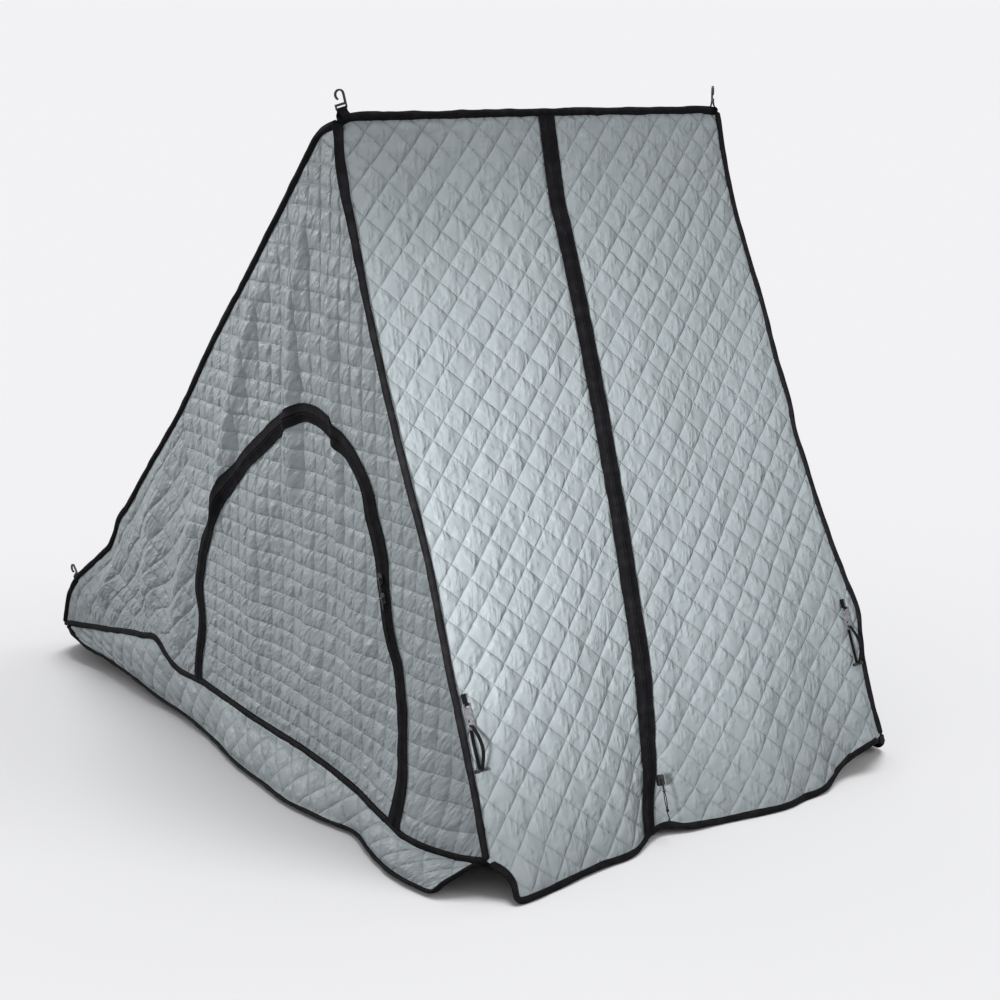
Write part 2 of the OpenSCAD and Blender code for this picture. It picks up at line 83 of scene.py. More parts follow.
ridge_low, ridge_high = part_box("ridge_binding")
sill_low, sill_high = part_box("sill_bindings")
hem_low, hem_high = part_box("hem_bindings")
SEAM_R = (ridge_high.z - ridge_low.z) / 2
HALF_RIDGE = ridge_high.x + 0.002
RIDGE_Y = (ridge_low.y + ridge_high.y) / 2
RIDGE_Z = (ridge_low.z + ridge_high.z) / 2
HALF_BASE = sill_high.x - SEAM_R
SILL_Z = (sill_low.z + sill_high.z) / 2
BACK_Y = sill_high.y - SEAM_R
FRONT_Y = -BACK_Y
HEM_R = 0.007
FOOT_Z = 0.0115
LEAN = HALF_BASE - HALF_RIDGE
RISE = RIDGE_Z - SILL_Z
HEM_X = hem_high.x - HEM_R


def unit(v):
    v = np.asarray(v, float)
    return v / np.linalg.norm(v)


def link(name, data):
    obj = bpy.data.objects.new(name, data)
    bpy.context.scene.collection.objects.link(obj)
    return obj

class Plane:
    """A panel's plane: u runs along the sill, v up the panel and n out of the tent."""

    def __init__(self, origin, u, v):
        self.origin = np.array(origin, float)
        self.u = unit(u)
        self.v = unit(v)
        self.n = np.cross(self.u, self.v)

    def at(self, u, v, n=0.0):
        u, v, n = np.broadcast_arrays(u, v, n)
        return self.origin + u[..., None] * self.u + v[..., None] * self.v + n[..., None] * self.n


FRONT = Plane([0, FRONT_Y, SILL_Z], [1, 0, 0], [0, RIDGE_Y - FRONT_Y, RISE])
GABLE = Plane([-HALF_BASE, RIDGE_Y, SILL_Z], [0, -1, 0], [LEAN, 0, RISE])
BACK = Plane([0, BACK_Y, SILL_Z], [-1, 0, 0], [0, RIDGE_Y - BACK_Y, RISE])
FRONT_S = math.hypot(RIDGE_Y - FRONT_Y, RISE)
BACK_S = math.hypot(RIDGE_Y - BACK_Y, RISE)
GABLE_S = math.hypot(LEAN, RISE)
FLOOR_S = -SILL_Z * FRONT_S / RISE
HEM_S = (FOOT_Z - SILL_Z) * FRONT_S / RISE
FRONT_U = RIDGE_Y - FRONT_Y
BACK_U = BACK_Y - RIDGE_Y


# -------- camera

# The camera's place in front of the left front corner, found from the photograph's perspective
CAMERA_AT = (-2.837, -4.033, 1.769)
CAMERA_YAW = math.radians(37.24)
CAMERA_PITCH = math.radians(13.33)
CAMERA_LENS = 65.3

camera_data = bpy.data.cameras.new("camera")
camera_data.lens = CAMERA_LENS
camera_data.sensor_width = 36
camera_data.clip_end = 200
camera = link("camera", camera_data)
camera.location = CAMERA_AT
camera.rotation_euler = (math.pi / 2 - CAMERA_PITCH, 0, -CAMERA_YAW)
bpy.context.scene.camera = camera


# -------- numbers into shapes


def through(keys, t):
    """A smooth curve through (place, value) keys, at places t."""
    place = np.array([key[0] for key in keys], float)
    value = np.array([np.atleast_1d(key[1]) for key in keys], float)
    slope = np.gradient(value, place, axis=0)
    t = np.asarray(t, float)
    i = np.clip(np.searchsorted(place, t) - 1, 0, len(place) - 2)
    span = (place[i + 1] - place[i])[..., None]
    s = np.clip((t - place[i])[..., None] / span, 0, 1)
    rise = value[i] * (1 + 2 * s) * (1 - s) ** 2 + value[i + 1] * s**2 * (3 - 2 * s)
    return rise + span * (slope[i] * s * (1 - s) ** 2 - slope[i + 1] * s**2 * (1 - s))


def curve(keys, t):
    return through(keys, t)[..., 0]


def noise(u, v, seed, size=97):
    """Smooth noise from -1 to 1 with cells of 1 by 1, which repeats after size cells."""
    table = np.random.RandomState(seed).uniform(-1, 1, (size, size))
    i, j = np.floor(u).astype(int), np.floor(v).astype(int)
    a, b = u - i, v - j
    a, b = a * a * (3 - 2 * a), b * b * (3 - 2 * b)
    i0, i1, j0, j1 = i % size, (i + 1) % size, j % size, (j + 1) % size
    low = table[i0, j0] * (1 - a) + table[i1, j0] * a
    high = table[i0, j1] * (1 - a) + table[i1, j1] * a
    return low * (1 - b) + high * b


def ease(x, low, high):
    """0 below low, 1 above high, and smooth between."""
    t = np.clip((x - low) / (high - low), 0, 1)
    return t * t * (3 - 2 * t)


def ridge_of(x):
    """A rounded fold of height 1 and width about 2, at x = 0."""
    return np.exp(-x * x)


def pillows(a, b, pitch, seed=1, size=89):
    """Height from about 0 to 1 of cloth padded between two families of stitched lines.

    No two cells are alike within a block of size by size.
    """
    i, j = np.floor(a / pitch).astype(int), np.floor(b / pitch).astype(int)
    p = np.abs(np.sin(np.pi * a / pitch))
    q = np.abs(np.sin(np.pi * b / pitch))
    tight = (1 - np.exp(-p / 0.2)) * (1 - np.exp(-q / 0.2))
    chance = np.random.RandomState(seed).uniform(-1, 1, (3, size, size))
    full, tilt_a, tilt_b = chance[:, i % size, j % size]
    tilt = tilt_a * (a / pitch - i - 0.5) + tilt_b * (b / pitch - j - 0.5)
    return 0.5 * tight + (0.5 + 0.16 * full) * np.sqrt(p * q) + 0.5 * tilt * tight


def diamonds(u, v, pitch):
    return pillows((u + v) / math.sqrt(2), (u - v) / math.sqrt(2), pitch)


def creases(u, v, seed):
    """Height from -1 to 1 with sharp valleys, in cells of 1 by 1."""
    return 2 * np.abs(noise(u, v, seed)) ** 0.7 - 1


class Seam:
    """A sewn line from a to b that wanders by offsets in millimetres, at places along it from 0 to 1."""

    def __init__(self, a, b, keys):
        self.a, self.b = np.array(a, float), np.array(b, float)
        self.keys = [(place, np.array(offset) / 1000) for place, *offset in keys]

    def pull(self, t):
        return through(self.keys, t)

    def at(self, t):
        t = np.asarray(t, float)
        return self.a + (self.b - self.a) * t[..., None] + self.pull(t)

    def nearest(self, points):
        d = self.b - self.a
        t = np.clip((points - self.a) @ d / (d @ d), 0, 1)
        return t, np.linalg.norm(points - self.a - t[..., None] * d, axis=-1)


def pulled(points, seams, reach=0.3):
    """Points moved with the seams near them; a seam's pull fades over reach."""
    total, weight = 0.0, 1 / reach**2
    for seam in seams:
        t, distance = seam.nearest(points)
        w = 1 / (distance**2 + 1e-9)
        total = total + w[..., None] * seam.pull(t)
        weight = weight + w
    return points + total / weight[..., None]


def margin(points, seams):
    """Distance to the nearest seam."""
    return np.min([seam.nearest(points)[1] for seam in seams], axis=0)


# -------- seams

front_foot = [-HALF_BASE, FRONT_Y, SILL_Z]
back_foot = [-HALF_BASE, BACK_Y, SILL_Z]
ridge_end = [-HALF_RIDGE, RIDGE_Y, RIDGE_Z]
# How far the seams' ends stand off their corners, in millimetres
TOP = (14, 4, -12)
TOP_RIGHT = (-5, 0, -2)
FOOT_FRONT = (0, 0, -6)


def mirrored(p):
    return [-p[0], p[1], p[2]]


def across_only(*keys):
    """Keys of a seam that wanders from side to side only."""
    return [(place, away, 0, 0) for place, away in keys]


def back_out(t, away, along=0.0):
    """A back corner seam's key: how far it stands out of its line, in the gable's plane."""
    return (t, along, 0.709 * away, 0.705 * away)


ridge_seam = Seam(ridge_end, mirrored(ridge_end), [
    (0, *TOP), (0.03, 2, 0, -1), (0.07, 0, 0, 2), (0.15, 0, 0, 2), (0.5, 0, 0, 4),
    (0.85, 0, 0, 3), (0.95, 0, 0, 3), (1, *TOP_RIGHT),
])
front_left_seam = Seam(front_foot, ridge_end, [
    (0, *FOOT_FRONT),
    *across_only((0.12, 4), (0.25, 4), (0.39, 7), (0.53, -5), (0.63, -11), (0.82, -12),
                 (0.95, -4)),
    (1, *TOP),
])
front_right_seam = Seam(mirrored(front_foot), mirrored(ridge_end), [
    (0, *mirrored(FOOT_FRONT)),
    *across_only((0.05, -5), (0.1, 0), (0.145, 13), (0.19, 30), (0.24, 16), (0.29, 2),
                 (0.36, -12), (0.434, -21), (0.483, -27), (0.53, -20), (0.6, -26),
                 (0.68, -24), (0.77, -31), (0.87, -32), (0.94, -20), (0.98, -9)),
    (1, *TOP_RIGHT),
])
back_left_seam = Seam(back_foot, ridge_end, [
    (0, 0, 0, 0), back_out(0.022, 22), back_out(0.045, 42), back_out(0.07, 38, -6),
    back_out(0.092, 40, -4), back_out(0.12, 28), back_out(0.16, 10, 4),
    back_out(0.2, -5, 10), back_out(0.23, 0, 8), back_out(0.257, 8, 4),
    back_out(0.29, -2), back_out(0.35, 3, 6), back_out(0.5, 2, 12), back_out(0.63, 4),
    back_out(0.75, 7), back_out(0.87, 12), back_out(0.94, 17), back_out(0.968, 19, 4),
    (1, *TOP),
])
back_right_seam = Seam(mirrored(back_foot), mirrored(ridge_end), [
    (0, 0, 0, 0), (0.05, -10, 20, 20), (0.1, -15, 22, 22), (0.18, -12, 0, 0),
    (0.5, -20, 4, -4), (0.75, -28, 0, 0), (0.9, -30, 0, 0), (0.97, -18, 0, 0),
    (1, *TOP_RIGHT),
])
# The side sills hang in a long wave: out at the front, lifted in a kink near the back
side_sill = Seam(front_foot, back_foot, [
    (0, *FOOT_FRONT), (0.035, -18, 0, -22), (0.095, -58, 0, -16), (0.15, -46, 0, -8),
    (0.22, -22, 0, 4), (0.32, -8, 0, 20), (0.46, -4, 0, 32), (0.58, 0, 0, 50),
    (0.685, 0, 0, 72), (0.705, 0, 0, 100), (0.76, 0, 0, 92), (0.85, 0, 0, 58), (1, 0, 0, 0),
])
back_sill = Seam(back_foot, mirrored(back_foot), [
    (0, 0, 0, 0), (0.2, 0, 6, 6), (0.45, 0, -6, 16), (0.7, 0, 8, 4),
    (1, 0, 0, 0),
])


def mirrored_seam(seam):
    twin = Seam(mirrored(seam.a), mirrored(seam.b), [])
    twin.keys = [(place, mirrored(offset)) for place, offset in seam.keys]
    return twin


# Both gables are laid out on the left side; the right one is then mirrored back
LEFT_SEAMS = [front_left_seam, back_left_seam, side_sill]
RIGHT_SEAMS = [mirrored_seam(front_right_seam), mirrored_seam(back_right_seam), side_sill]
FRONT_SEAMS = [front_left_seam, front_right_seam, ridge_seam]
BACK_SEAMS = [back_left_seam, back_right_seam, ridge_seam, back_sill]


# -------- meshes


def mesh_object(name, points, faces, uv, material, mirror=False):
    """A smooth mesh with its flat cloth coordinates, in metres, as UVs."""
    points = np.array(points, float)
    faces = np.array(faces)
    if mirror:
        points[:, 0] *= -1
        faces = faces[:, ::-1]
    mesh = bpy.data.meshes.new(name)
    mesh.from_pydata(points.tolist(), [], faces.tolist())
    layer = mesh.uv_layers.new(name="cloth")
    layer.data.foreach_set("uv", np.array(uv, np.float32)[faces.ravel()].ravel())
    mesh.shade_smooth()
    mesh.materials.append(material)
    return link(name, mesh)


def grid_faces(rows, columns, closed=False):
    """Quads of a grid of points stored row by row; closed joins each row's end to its start."""
    i, j = np.meshgrid(np.arange(rows - 1), np.arange(columns - (not closed)), indexing="ij")
    k = (j + 1) % columns
    quads = np.stack([i * columns + j, i * columns + k, (i + 1) * columns + k, (i + 1) * columns + j], -1)
    return quads.reshape(-1, 4)

def grid_object(name, points, uv, material, mirror=False, flip=False, closed=False):
    """A mesh from a grid of points; flip turns it over."""
    faces = grid_faces(*points.shape[:2], closed)
    faces = faces[:, ::-1] if flip else faces
    return mesh_object(name, points.reshape(-1, 3), faces, uv.reshape(-1, 2), material, mirror)


def pairs(a, b):
    return np.stack(np.broadcast_arrays(a, b), -1)


def lengths(path):
    """Distance along a path at each of its points."""
    return np.concatenate([[0], np.cumsum(np.linalg.norm(np.diff(path, axis=0), axis=1))])


def unit_rows(v):
    return v / np.linalg.norm(v, axis=-1)[..., None]


def declare(obj, slot, *nodes, body="root"):
    """Hides the CAD nodes that a piece stands for and attaches it to the body it rides; slot, its finish,
    is not used.
    """
    if nodes:
        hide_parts(*nodes)
    if body:
        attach(obj, body)
    return obj


def swept(name, path, section, side, out, material, mirror=False):
    """A closed section of (across, out) points swept along a path; it may change along the path."""
    section = np.broadcast_to(np.array(section, float), (len(path),) + np.shape(section)[-2:])
    points = path[:, None] + section[..., :1] * side[:, None] + section[..., 1:] * out[:, None]
    columns = points.shape[1]
    uv = pairs(lengths(path)[:, None], np.arange(columns)[None] / columns * 0.05)
    return grid_object(name, points, uv, material, mirror, closed=True)


TUBE_SIDES = 14


def bound_edge(name, path, width, thickness, out, wobble, seed, mirror=False):
    """Binding tape round an edge: a flattened tube. width may change along the path."""
    path = np.array(path, float)
    tangent = unit_rows(np.gradient(path, axis=0))
    side = unit_rows(np.cross(tangent, np.broadcast_to(np.array(out, float), path.shape)))
    length = lengths(path)
    angle = np.arange(TUBE_SIDES) * 2 * np.pi / TUBE_SIDES
    squared = 1 / (np.abs(np.cos(angle)) ** 3 + np.abs(np.sin(angle)) ** 3) ** (1 / 3)
    ripple = 1 + wobble * noise(length[:, None] / 0.035, angle[None] * 1.3 + seed * 7.0, seed)
    ends = np.minimum(1, np.sqrt(np.minimum(length, length[-1] - length) / 0.004 + 0.02))
    scale = (squared[None] * ripple) * ends[:, None]
    across = np.cos(angle)[None] * (np.broadcast_to(width, length.shape)[:, None] / 2) * scale
    section = np.stack([across, np.sin(angle)[None] * (thickness / 2) * scale], -1)
    return swept(name, path, section, side, np.cross(side, tangent), binding, mirror)


def resampled(path, step):
    path = np.array(path, float)
    length = lengths(path)
    t = np.linspace(0, length[-1], max(3, int(length[-1] / step)))
    return np.stack([np.interp(t, length, column) for column in path.T], 1)


def smoothed(path, times):
    path = np.array(path, float)
    for _ in range(times):
        path[1:-1] = (path[:-2] + 2 * path[1:-1] + path[2:]) / 4
    return path


# -------- materials


# Where the gables' diamonds turn to squares: along the sill plus a share of the height
REAR_LEAN = 0.25
REAR_EDGE = (-0.62, -0.58)


class Nodes:
    """A small helper that builds a material's node tree."""

    def __init__(self, name, color, roughness, **settings):
        self.material = bpy.data.materials.new(name)
        self.material.use_nodes = True
        self.tree = self.material.node_tree
        self.shader = self.tree.nodes["Principled BSDF"]
        self.shader.inputs["Base Color"].default_value = (*color, 1)
        self.shader.inputs["Roughness"].default_value = roughness
        for key, value in settings.items():
            self.shader.inputs[key.replace("_", " ")].default_value = value

    def put(self, value, socket):
        if isinstance(value, bpy.types.NodeSocket):
            self.tree.links.new(value, socket)
        else:
            socket.default_value = value

    def node(self, kind, **values):
        """A new node; values are what its inputs hold or link to."""
        node = self.tree.nodes.new("ShaderNode" + kind)
        for name, value in values.items():
            self.put(value, node.inputs[name])
        return node

    def math(self, operation, *values):
        node = self.node("Math")
        node.operation = operation
        for value, socket in zip(values, node.inputs):
            self.put(value, socket)
        return node.outputs[0]

    def cloth(self, scale, turn=0.0):
        """Flat cloth coordinates, in metres, turned and scaled."""
        source = self.node("UVMap")
        source.uv_map = "cloth"
        turned = self.node("Mapping", Vector=source.outputs["UV"], Rotation=(0, 0, math.radians(turn)))
        return self.node("Mapping", Vector=turned.outputs["Vector"], Scale=(*scale, 1)).outputs["Vector"]

    def split(self, turn=0.0):
        """The cloth coordinates, each on its own."""
        return self.node("SeparateXYZ", Vector=self.cloth((1, 1), turn)).outputs

    def solid(self, scale):
        source = self.node("TexCoord").outputs["Object"]
        return self.node("Mapping", Vector=source, Scale=(scale, scale, scale)).outputs["Vector"]

    def noise(self, vector, detail=2.0, rough=0.5):
        return self.node("TexNoise", Scale=1, Detail=detail, Roughness=rough, Vector=vector).outputs["Fac"]

    def remap(self, value, low, high, to_low=0, to_high=1):
        node = self.node("MapRange")
        node.interpolation_type = "SMOOTHSTEP"
        for v, socket in zip((value, low, high, to_low, to_high), node.inputs):
            self.put(v, socket)
        return node.outputs[0]

    def tint(self, factor, dark, light):
        node = self.node("Mix")
        node.data_type = "RGBA"
        self.put(factor, node.inputs["Factor"])
        self.put((*dark, 1), node.inputs["A"])
        self.put((*light, 1), node.inputs["B"])
        self.tree.links.new(node.outputs["Result"], self.shader.inputs["Base Color"])

    def rough(self, factor, low, high):
        self.put(self.remap(factor, 0.3, 0.7, low, high), self.shader.inputs["Roughness"])

    def bump(self, height):
        """Height is in metres."""
        node = self.node("Bump", Strength=1, Distance=1, Height=height)
        self.put(node.outputs["Normal"], self.shader.inputs["Normal"])


def stitched_lines(n, pitch, turn):
    """Distance in metres from the nearest of two families of stitched lines at right angles."""
    split = n.split(turn)
    steps = [n.math("PINGPONG", n.math("DIVIDE", split[k], pitch), 0.5) for k in "XY"]
    return n.math("MINIMUM", *[n.math("MULTIPLY", step, pitch) for step in steps])


def quilt_material(name, color, pitch, depth, square_pitch=None):
    """Thin crinkled nylon over wadding, stitched in diamonds; the gables turn to squares in front."""
    n = Nodes(name, color, 0.52, Specular_IOR_Level=0.15)
    line = stitched_lines(n, pitch, 45)
    # The crinkles' direction in degrees, and what is left of them between their patches
    along, least = (61, 0.5) if square_pitch else (80, 0.12)
    if square_pitch:
        split = n.split()
        place = n.math("MULTIPLY_ADD", split["Y"], REAR_LEAN, split["X"])
        front = n.math("GREATER_THAN", place, sum(REAR_EDGE) / 2)
        square = stitched_lines(n, square_pitch, 0)
        line = n.math("MULTIPLY_ADD", n.math("SUBTRACT", square, line), front, line)
    groove = n.remap(line, 0, 0.004)
    soft = n.noise(n.cloth((17, 88), -along), 1, 0.4)
    sharp = n.noise(n.cloth((21, 75), 25 - along), 1, 0.4)
    crease = n.math("ABSOLUTE", n.math("SUBTRACT", sharp, 0.5))
    where = n.remap(n.noise(n.cloth((21, 21), 20), 2), 0.42, 0.6, least, 1)
    crinkle = n.math("MULTIPLY", n.math("MULTIPLY_ADD", crease, 0.7, soft), where)
    fine = n.noise(n.cloth((420, 420)), 2)
    height = n.math("MULTIPLY_ADD", groove, 0.0012, n.math("MULTIPLY", crinkle, depth))
    n.bump(n.math("MULTIPLY_ADD", fine, 0.0001, height))
    # Painted shade: the colour darkens along the stitched lines, as shade in their valleys; faded is tone
    # that differs at random.
    faded = n.remap(n.noise(n.cloth((5, 5)), 3), 0.25, 0.75, 0.93, 1.0)
    tone_and_painted_groove_shade = n.math("MULTIPLY", faded, n.remap(line, 0.0, 0.0016, 0.88, 1.0))
    n.tint(n.remap(tone_and_painted_groove_shade, 0.6, 1), tuple(c * 0.5 for c in color), color)
    n.rough(n.noise(n.cloth((60, 60)), 3), 0.46, 0.6)
    return n.material


def woven_material(name, color, roughness, rib, depth=0.0003):
    """Black tape or webbing: cross ribs with a fine grain."""
    n = Nodes(name, color, roughness, Specular_IOR_Level=0.025)
    ribs = n.math("PINGPONG", n.math("DIVIDE", n.split()["X"], rib), 0.5)
    grain = n.noise(n.cloth((700, 700)), 2)
    n.bump(n.math("ADD", n.math("MULTIPLY", ribs, depth), n.math("MULTIPLY", grain, 0.0003)))
    worn = n.noise(n.cloth((40, 40)), 3)
    n.tint(n.remap(worn, 0.35, 0.75), color, tuple(c * 1.7 + 0.0008 for c in color))
    n.rough(grain, roughness - 0.08, min(1, roughness + 0.08))
    return n.material


def moulded_material(name, color, roughness, **settings):
    """Moulded plastic or coated metal, on CAD nodes and new pieces alike."""
    n = Nodes(name, color, roughness, **settings)
    grain = n.noise(n.solid(900), 2)
    wear = n.noise(n.solid(120), 3)
    n.bump(n.math("MULTIPLY", grain, 0.00006))
    n.tint(n.remap(wear, 0.4, 0.8), color, tuple(c * 1.6 + 0.006 for c in color))
    n.rough(wear, roughness - 0.06, roughness + 0.1)
    return n.material


QUILT_GREY = (0.112, 0.126, 0.131)
PITCH = 0.057
GABLE_PITCH = 0.0665
SQUARE_PITCH = 0.0485
PUFF = 0.0078
quilt = quilt_material("quilted_nylon", QUILT_GREY, PITCH, 0.0042)
gable_quilt = quilt_material("quilted_nylon_gable", QUILT_GREY, GABLE_PITCH, 0.0075, SQUARE_PITCH)
binding = woven_material("binding_tape", (0.003, 0.003, 0.0034), 0.62, 0.0016)
zip_tape = woven_material("zip_tape", (0.0026, 0.0026, 0.003), 0.7, 0.0012)
webbing = woven_material("webbing", (0.003, 0.003, 0.0034), 0.66, 0.002, 0.0005)
cord_braid = woven_material("cord_braid", (0.006, 0.006, 0.0065), 0.7, 0.0018, 0.0004)
zip_metal = moulded_material("zip_metal", (0.02, 0.02, 0.022), 0.35, Metallic=0.8)
hook_plastic = moulded_material("hook_plastic", (0.006, 0.006, 0.0065), 0.45, Specular_IOR_Level=0.3)
smoke_plastic = moulded_material(
    "smoke_plastic", (0.05, 0.05, 0.056), 0.2, Coat_Weight=0.4, Coat_Roughness=0.1
)


# -------- front

zip_joint = joints["front_zip"]
slider_low, slider_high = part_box("front_slider")
slider_at = np.array((slider_low + slider_high) / 2)
ZIP_SLOPE = zip_joint["axis"][0] / float(np.dot(zip_joint["axis"], FRONT.v))
SLIDER_S = float((slider_at - FRONT.origin) @ FRONT.v)
# How far the front zip wanders off its slider's straight line, up the front
ZIP_WANDER = [
    (FLOOR_S, -0.035), (-0.056, -0.026), (0.009, -0.009), (SLIDER_S, 0), (0.12, 0.003), (0.29, 0.011),
    (0.5, 0.015), (0.7, 0.02), (0.9, 0.022), (1.09, 0.02), (1.32, 0.013), (1.52, 0.002), (1.6, 0.006),
    (1.69, 0.012),
]
# How far the front's outer edge is cut in below the sill, from the sill at 0 to the hem at 1
NOTCH = {
    -1: ((0, 0), (0.12, 0.012), (0.3, 0.032), (0.5, 0.04), (0.75, 0.036), (1, 0.028)),
    1: ((0, 0), (0.3, 0.07), (0.65, 0.145), (1, 0.225)),
}
hem_line = FRONT.at(0.0, HEM_S)
front_hem_seam = Seam([-HALF_BASE, *hem_line[1:]], [HALF_BASE, *hem_line[1:]], [
    (0, 0, -36, 0), (0.06, 0, -41, 0), (0.118, 0, -30, 0), (0.225, 0, -6, 0), (0.32, 0, 4, 0),
    (0.386, 0, 44, 12), (0.423, 0, 54, 14), (0.4625, 0, 30, 6), (0.541, 0, 14, 0),
    (0.63, 0, -10, 0), (0.712, 0, -18, 0), (0.742, 0, -10, 0), (0.8, 0, -8, 2),
    (0.872, 0, 20, 4), (1, 0, 0, 0),
])


def straight_zip_x(s):
    return slider_at[0] + ZIP_SLOPE * (s - SLIDER_S)


def zip_x(s):
    return straight_zip_x(s) + curve(ZIP_WANDER, s)


def edge_x(side, s):
    """The outer edge of the front: the corner seam, and below the sill the cut of the hem."""
    above = HALF_BASE - LEAN * s / FRONT_S
    below = HALF_BASE - curve(NOTCH[side], np.clip(s / HEM_S, 0, 1))
    return side * np.where(s >= 0, above, below)


def front_base(x, s):
    """The front without its quilting: pulled to its seams, with its broad swells."""
    points = pulled(FRONT.at(x, s), FRONT_SEAMS + [front_hem_seam])
    free = np.minimum(margin(points, FRONT_SEAMS), np.abs(x - zip_x(s)))
    swell = 0.009 * noise(x / 0.36 + 3, s / 0.5, 5) + 0.005 * noise(x / 0.17, s / 0.3, 6)
    return points + (swell * ease(free, 0.0, 0.16))[..., None] * FRONT.n


def front_surface(x, s):
    free = margin(FRONT.at(x, s), FRONT_SEAMS)
    to_zip = np.abs(x - zip_x(s))
    to_hem = s - HEM_S
    hold = ease(np.minimum(np.minimum(free, to_zip - 0.015), to_hem), 0.0, 0.03)
    relief = PUFF * (diamonds(x, s, PITCH) - 0.35) * (0.85 + 0.3 * noise(x / 0.25, s / 0.25, 9))
    relief += 0.0012 * creases((x - 0.15 * s) / 0.02, s / 0.07, 11)
    relief += 0.0008 * noise((x - s) / 0.04, (x + s) / 0.02, 12)
    pucker = 0.004 * noise(s / 0.017, x / 0.08, 13) * np.exp(-to_zip / 0.05)
    pucker += 0.004 * noise(s / 0.02, x / 0.06, 14) * np.exp(-free / 0.05)
    pucker += 0.004 * noise(x / 0.022, s / 0.06, 15) * np.exp(-to_hem / 0.05)
    return front_base(x, s) + ((relief + pucker) * hold)[..., None] * FRONT.n


# The side of a mesh cell, in metres
CELL = 0.0052


def bend_flap(obj, side):
    """Bakes the piece's place into its mesh; the flap's fold line is read, but the front is not bent."""
    body = "flap_left" if side < 0 else "flap_right"
    at, axis = np.array(joints[f"{body}_fold"]["pos_m"]), unit(joints[f"{body}_fold"]["axis"])
    outward = unit(np.cross(axis, FRONT.n))
    outward *= np.sign(outward[0]) * side
    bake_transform(obj)


# A zip tape's section as (across, height) in millimetres: a raised edge by the teeth, then the tape
TEETH = [(0.6, 3.5), (0.6, 6.2), (2, 6.8), (4.5, 6.6), (5.5, 5.6)]
FRONT_TAPE = np.array(TEETH + [
    (19, 5.4), (20.5, 5), (22, 5.4), (24.5, 5), (25.2, 4.2), (24, 3.4),
]) / 1000
DOOR_TAPE = np.array(TEETH + [
    (18, 5.4), (19.5, 4.9), (21, 5.4), (23.8, 5), (24.6, 4.2), (23, 3.4),
]) / 1000
FRONT_HALF = 0.66

# Each panel as its object, outline and opening
for side, word in SIDES:
    up = np.linspace(HEM_S, FRONT_S, int((FRONT_S - HEM_S) / CELL))
    s = up[:, None]
    inner, outer = zip_x(s) + side * 0.01, edge_x(side, s)
    x = inner + (outer - inner) * np.linspace(0, 1, int(FRONT_HALF / CELL))[None]
    s = np.broadcast_to(s, x.shape)
    points, uv = front_surface(x, s), pairs(x, s)
    cloth = grid_object(f"front_fabric_{word}", points, uv, quilt, flip=side < 0)
    declare(cloth, "quilt", f"front_panel_{word}", f"front_flap_{word}", body=None)
    bend_flap(cloth, side)

    # The hem follows the floor, then climbs the cut to the corner
    corner = int(np.searchsorted(up, -0.004))
    path = smoothed(resampled(np.concatenate([points[0], points[1:corner, -1]]), STEP), 12)
    hem = bound_edge(f"front_hem_edge_{word}", path, 0.016, 0.0095, FRONT.n, 0.2, 20 + side)
    declare(hem, "binding", f"front_hem_{word}", body=None)
    bend_flap(hem, side)

    s = np.arange(HEM_S - 0.004, FRONT_S - 0.004, STEP)
    lines = []
    for across, height in FRONT_TAPE:
        width = across * (1 + 0.05 * noise(s / 0.03, 0, 30 + side) * (across > 0.01))
        height = height + 0.0006 * noise(s / 0.02, across * 90, 31)
        lines.append(front_base(zip_x(s) + side * width, s) + height[:, None] * FRONT.n)
    uv = pairs(s[:, None], FRONT_TAPE[None, :, 0])
    name = f"front_zip_half_{word}"
    tape = grid_object(name, np.stack(lines, 1), uv, zip_tape, flip=side > 0, closed=True)
    declare(tape, "zip_tape", f"front_zip_tape_{word}", "front_zip_top", body=None)
    bend_flap(tape, side)


# -------- gables

door_joint = joints["door_left_zip"]
high_low, high_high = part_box("door_slider_high_left")
LEG_POINT = np.array((high_low + high_high) / 2)
LEG_UP = -unit([-door_joint["axis"][1], float(np.dot(door_joint["axis"], GABLE.v))])
LEG_U = float((LEG_POINT - GABLE.origin) @ GABLE.u)
LEG_V = float((LEG_POINT - GABLE.origin) @ GABLE.v)


def leg_u(v):
    """The straight front leg of the door zip, where its sliders run."""
    return LEG_U + (v - LEG_V) * LEG_UP[0] / LEG_UP[1]


door_low, door_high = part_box("door_left")
HEAD_V = float((np.array([-HALF_BASE, 0, door_high.z]) - GABLE.origin) @ GABLE.v) + 0.012
HEAD_U = -0.09
LEG_TOP = 0.709
BACK_LEG_U = -(door_high.y - RIDGE_Y) - 0.012
BACK_TOP = 0.29
DOOR_FOOT = 0.004
# How the front leg wanders off its straight line, up the gable; it is straight where the sliders run
LEG_WANDER = [
    (0, -0.018), (0.06, 0.004), (0.111, 0.012), (0.22, 0.016), (0.31, 0.018), (0.4, 0.004),
    (LEG_V - 0.045, -0.002), (LEG_V, 0), (0.583, 0.007), (0.65, 0.004), (0.709, 0),
]


def bezier(a, b, c, d, t):
    a, b, c, d = (np.array(p, float) for p in (a, b, c, d))
    t = t[:, None]
    return a * (1 - t) ** 3 + 3 * b * t * (1 - t) ** 2 + 3 * c * t * t * (1 - t) + d * t**3


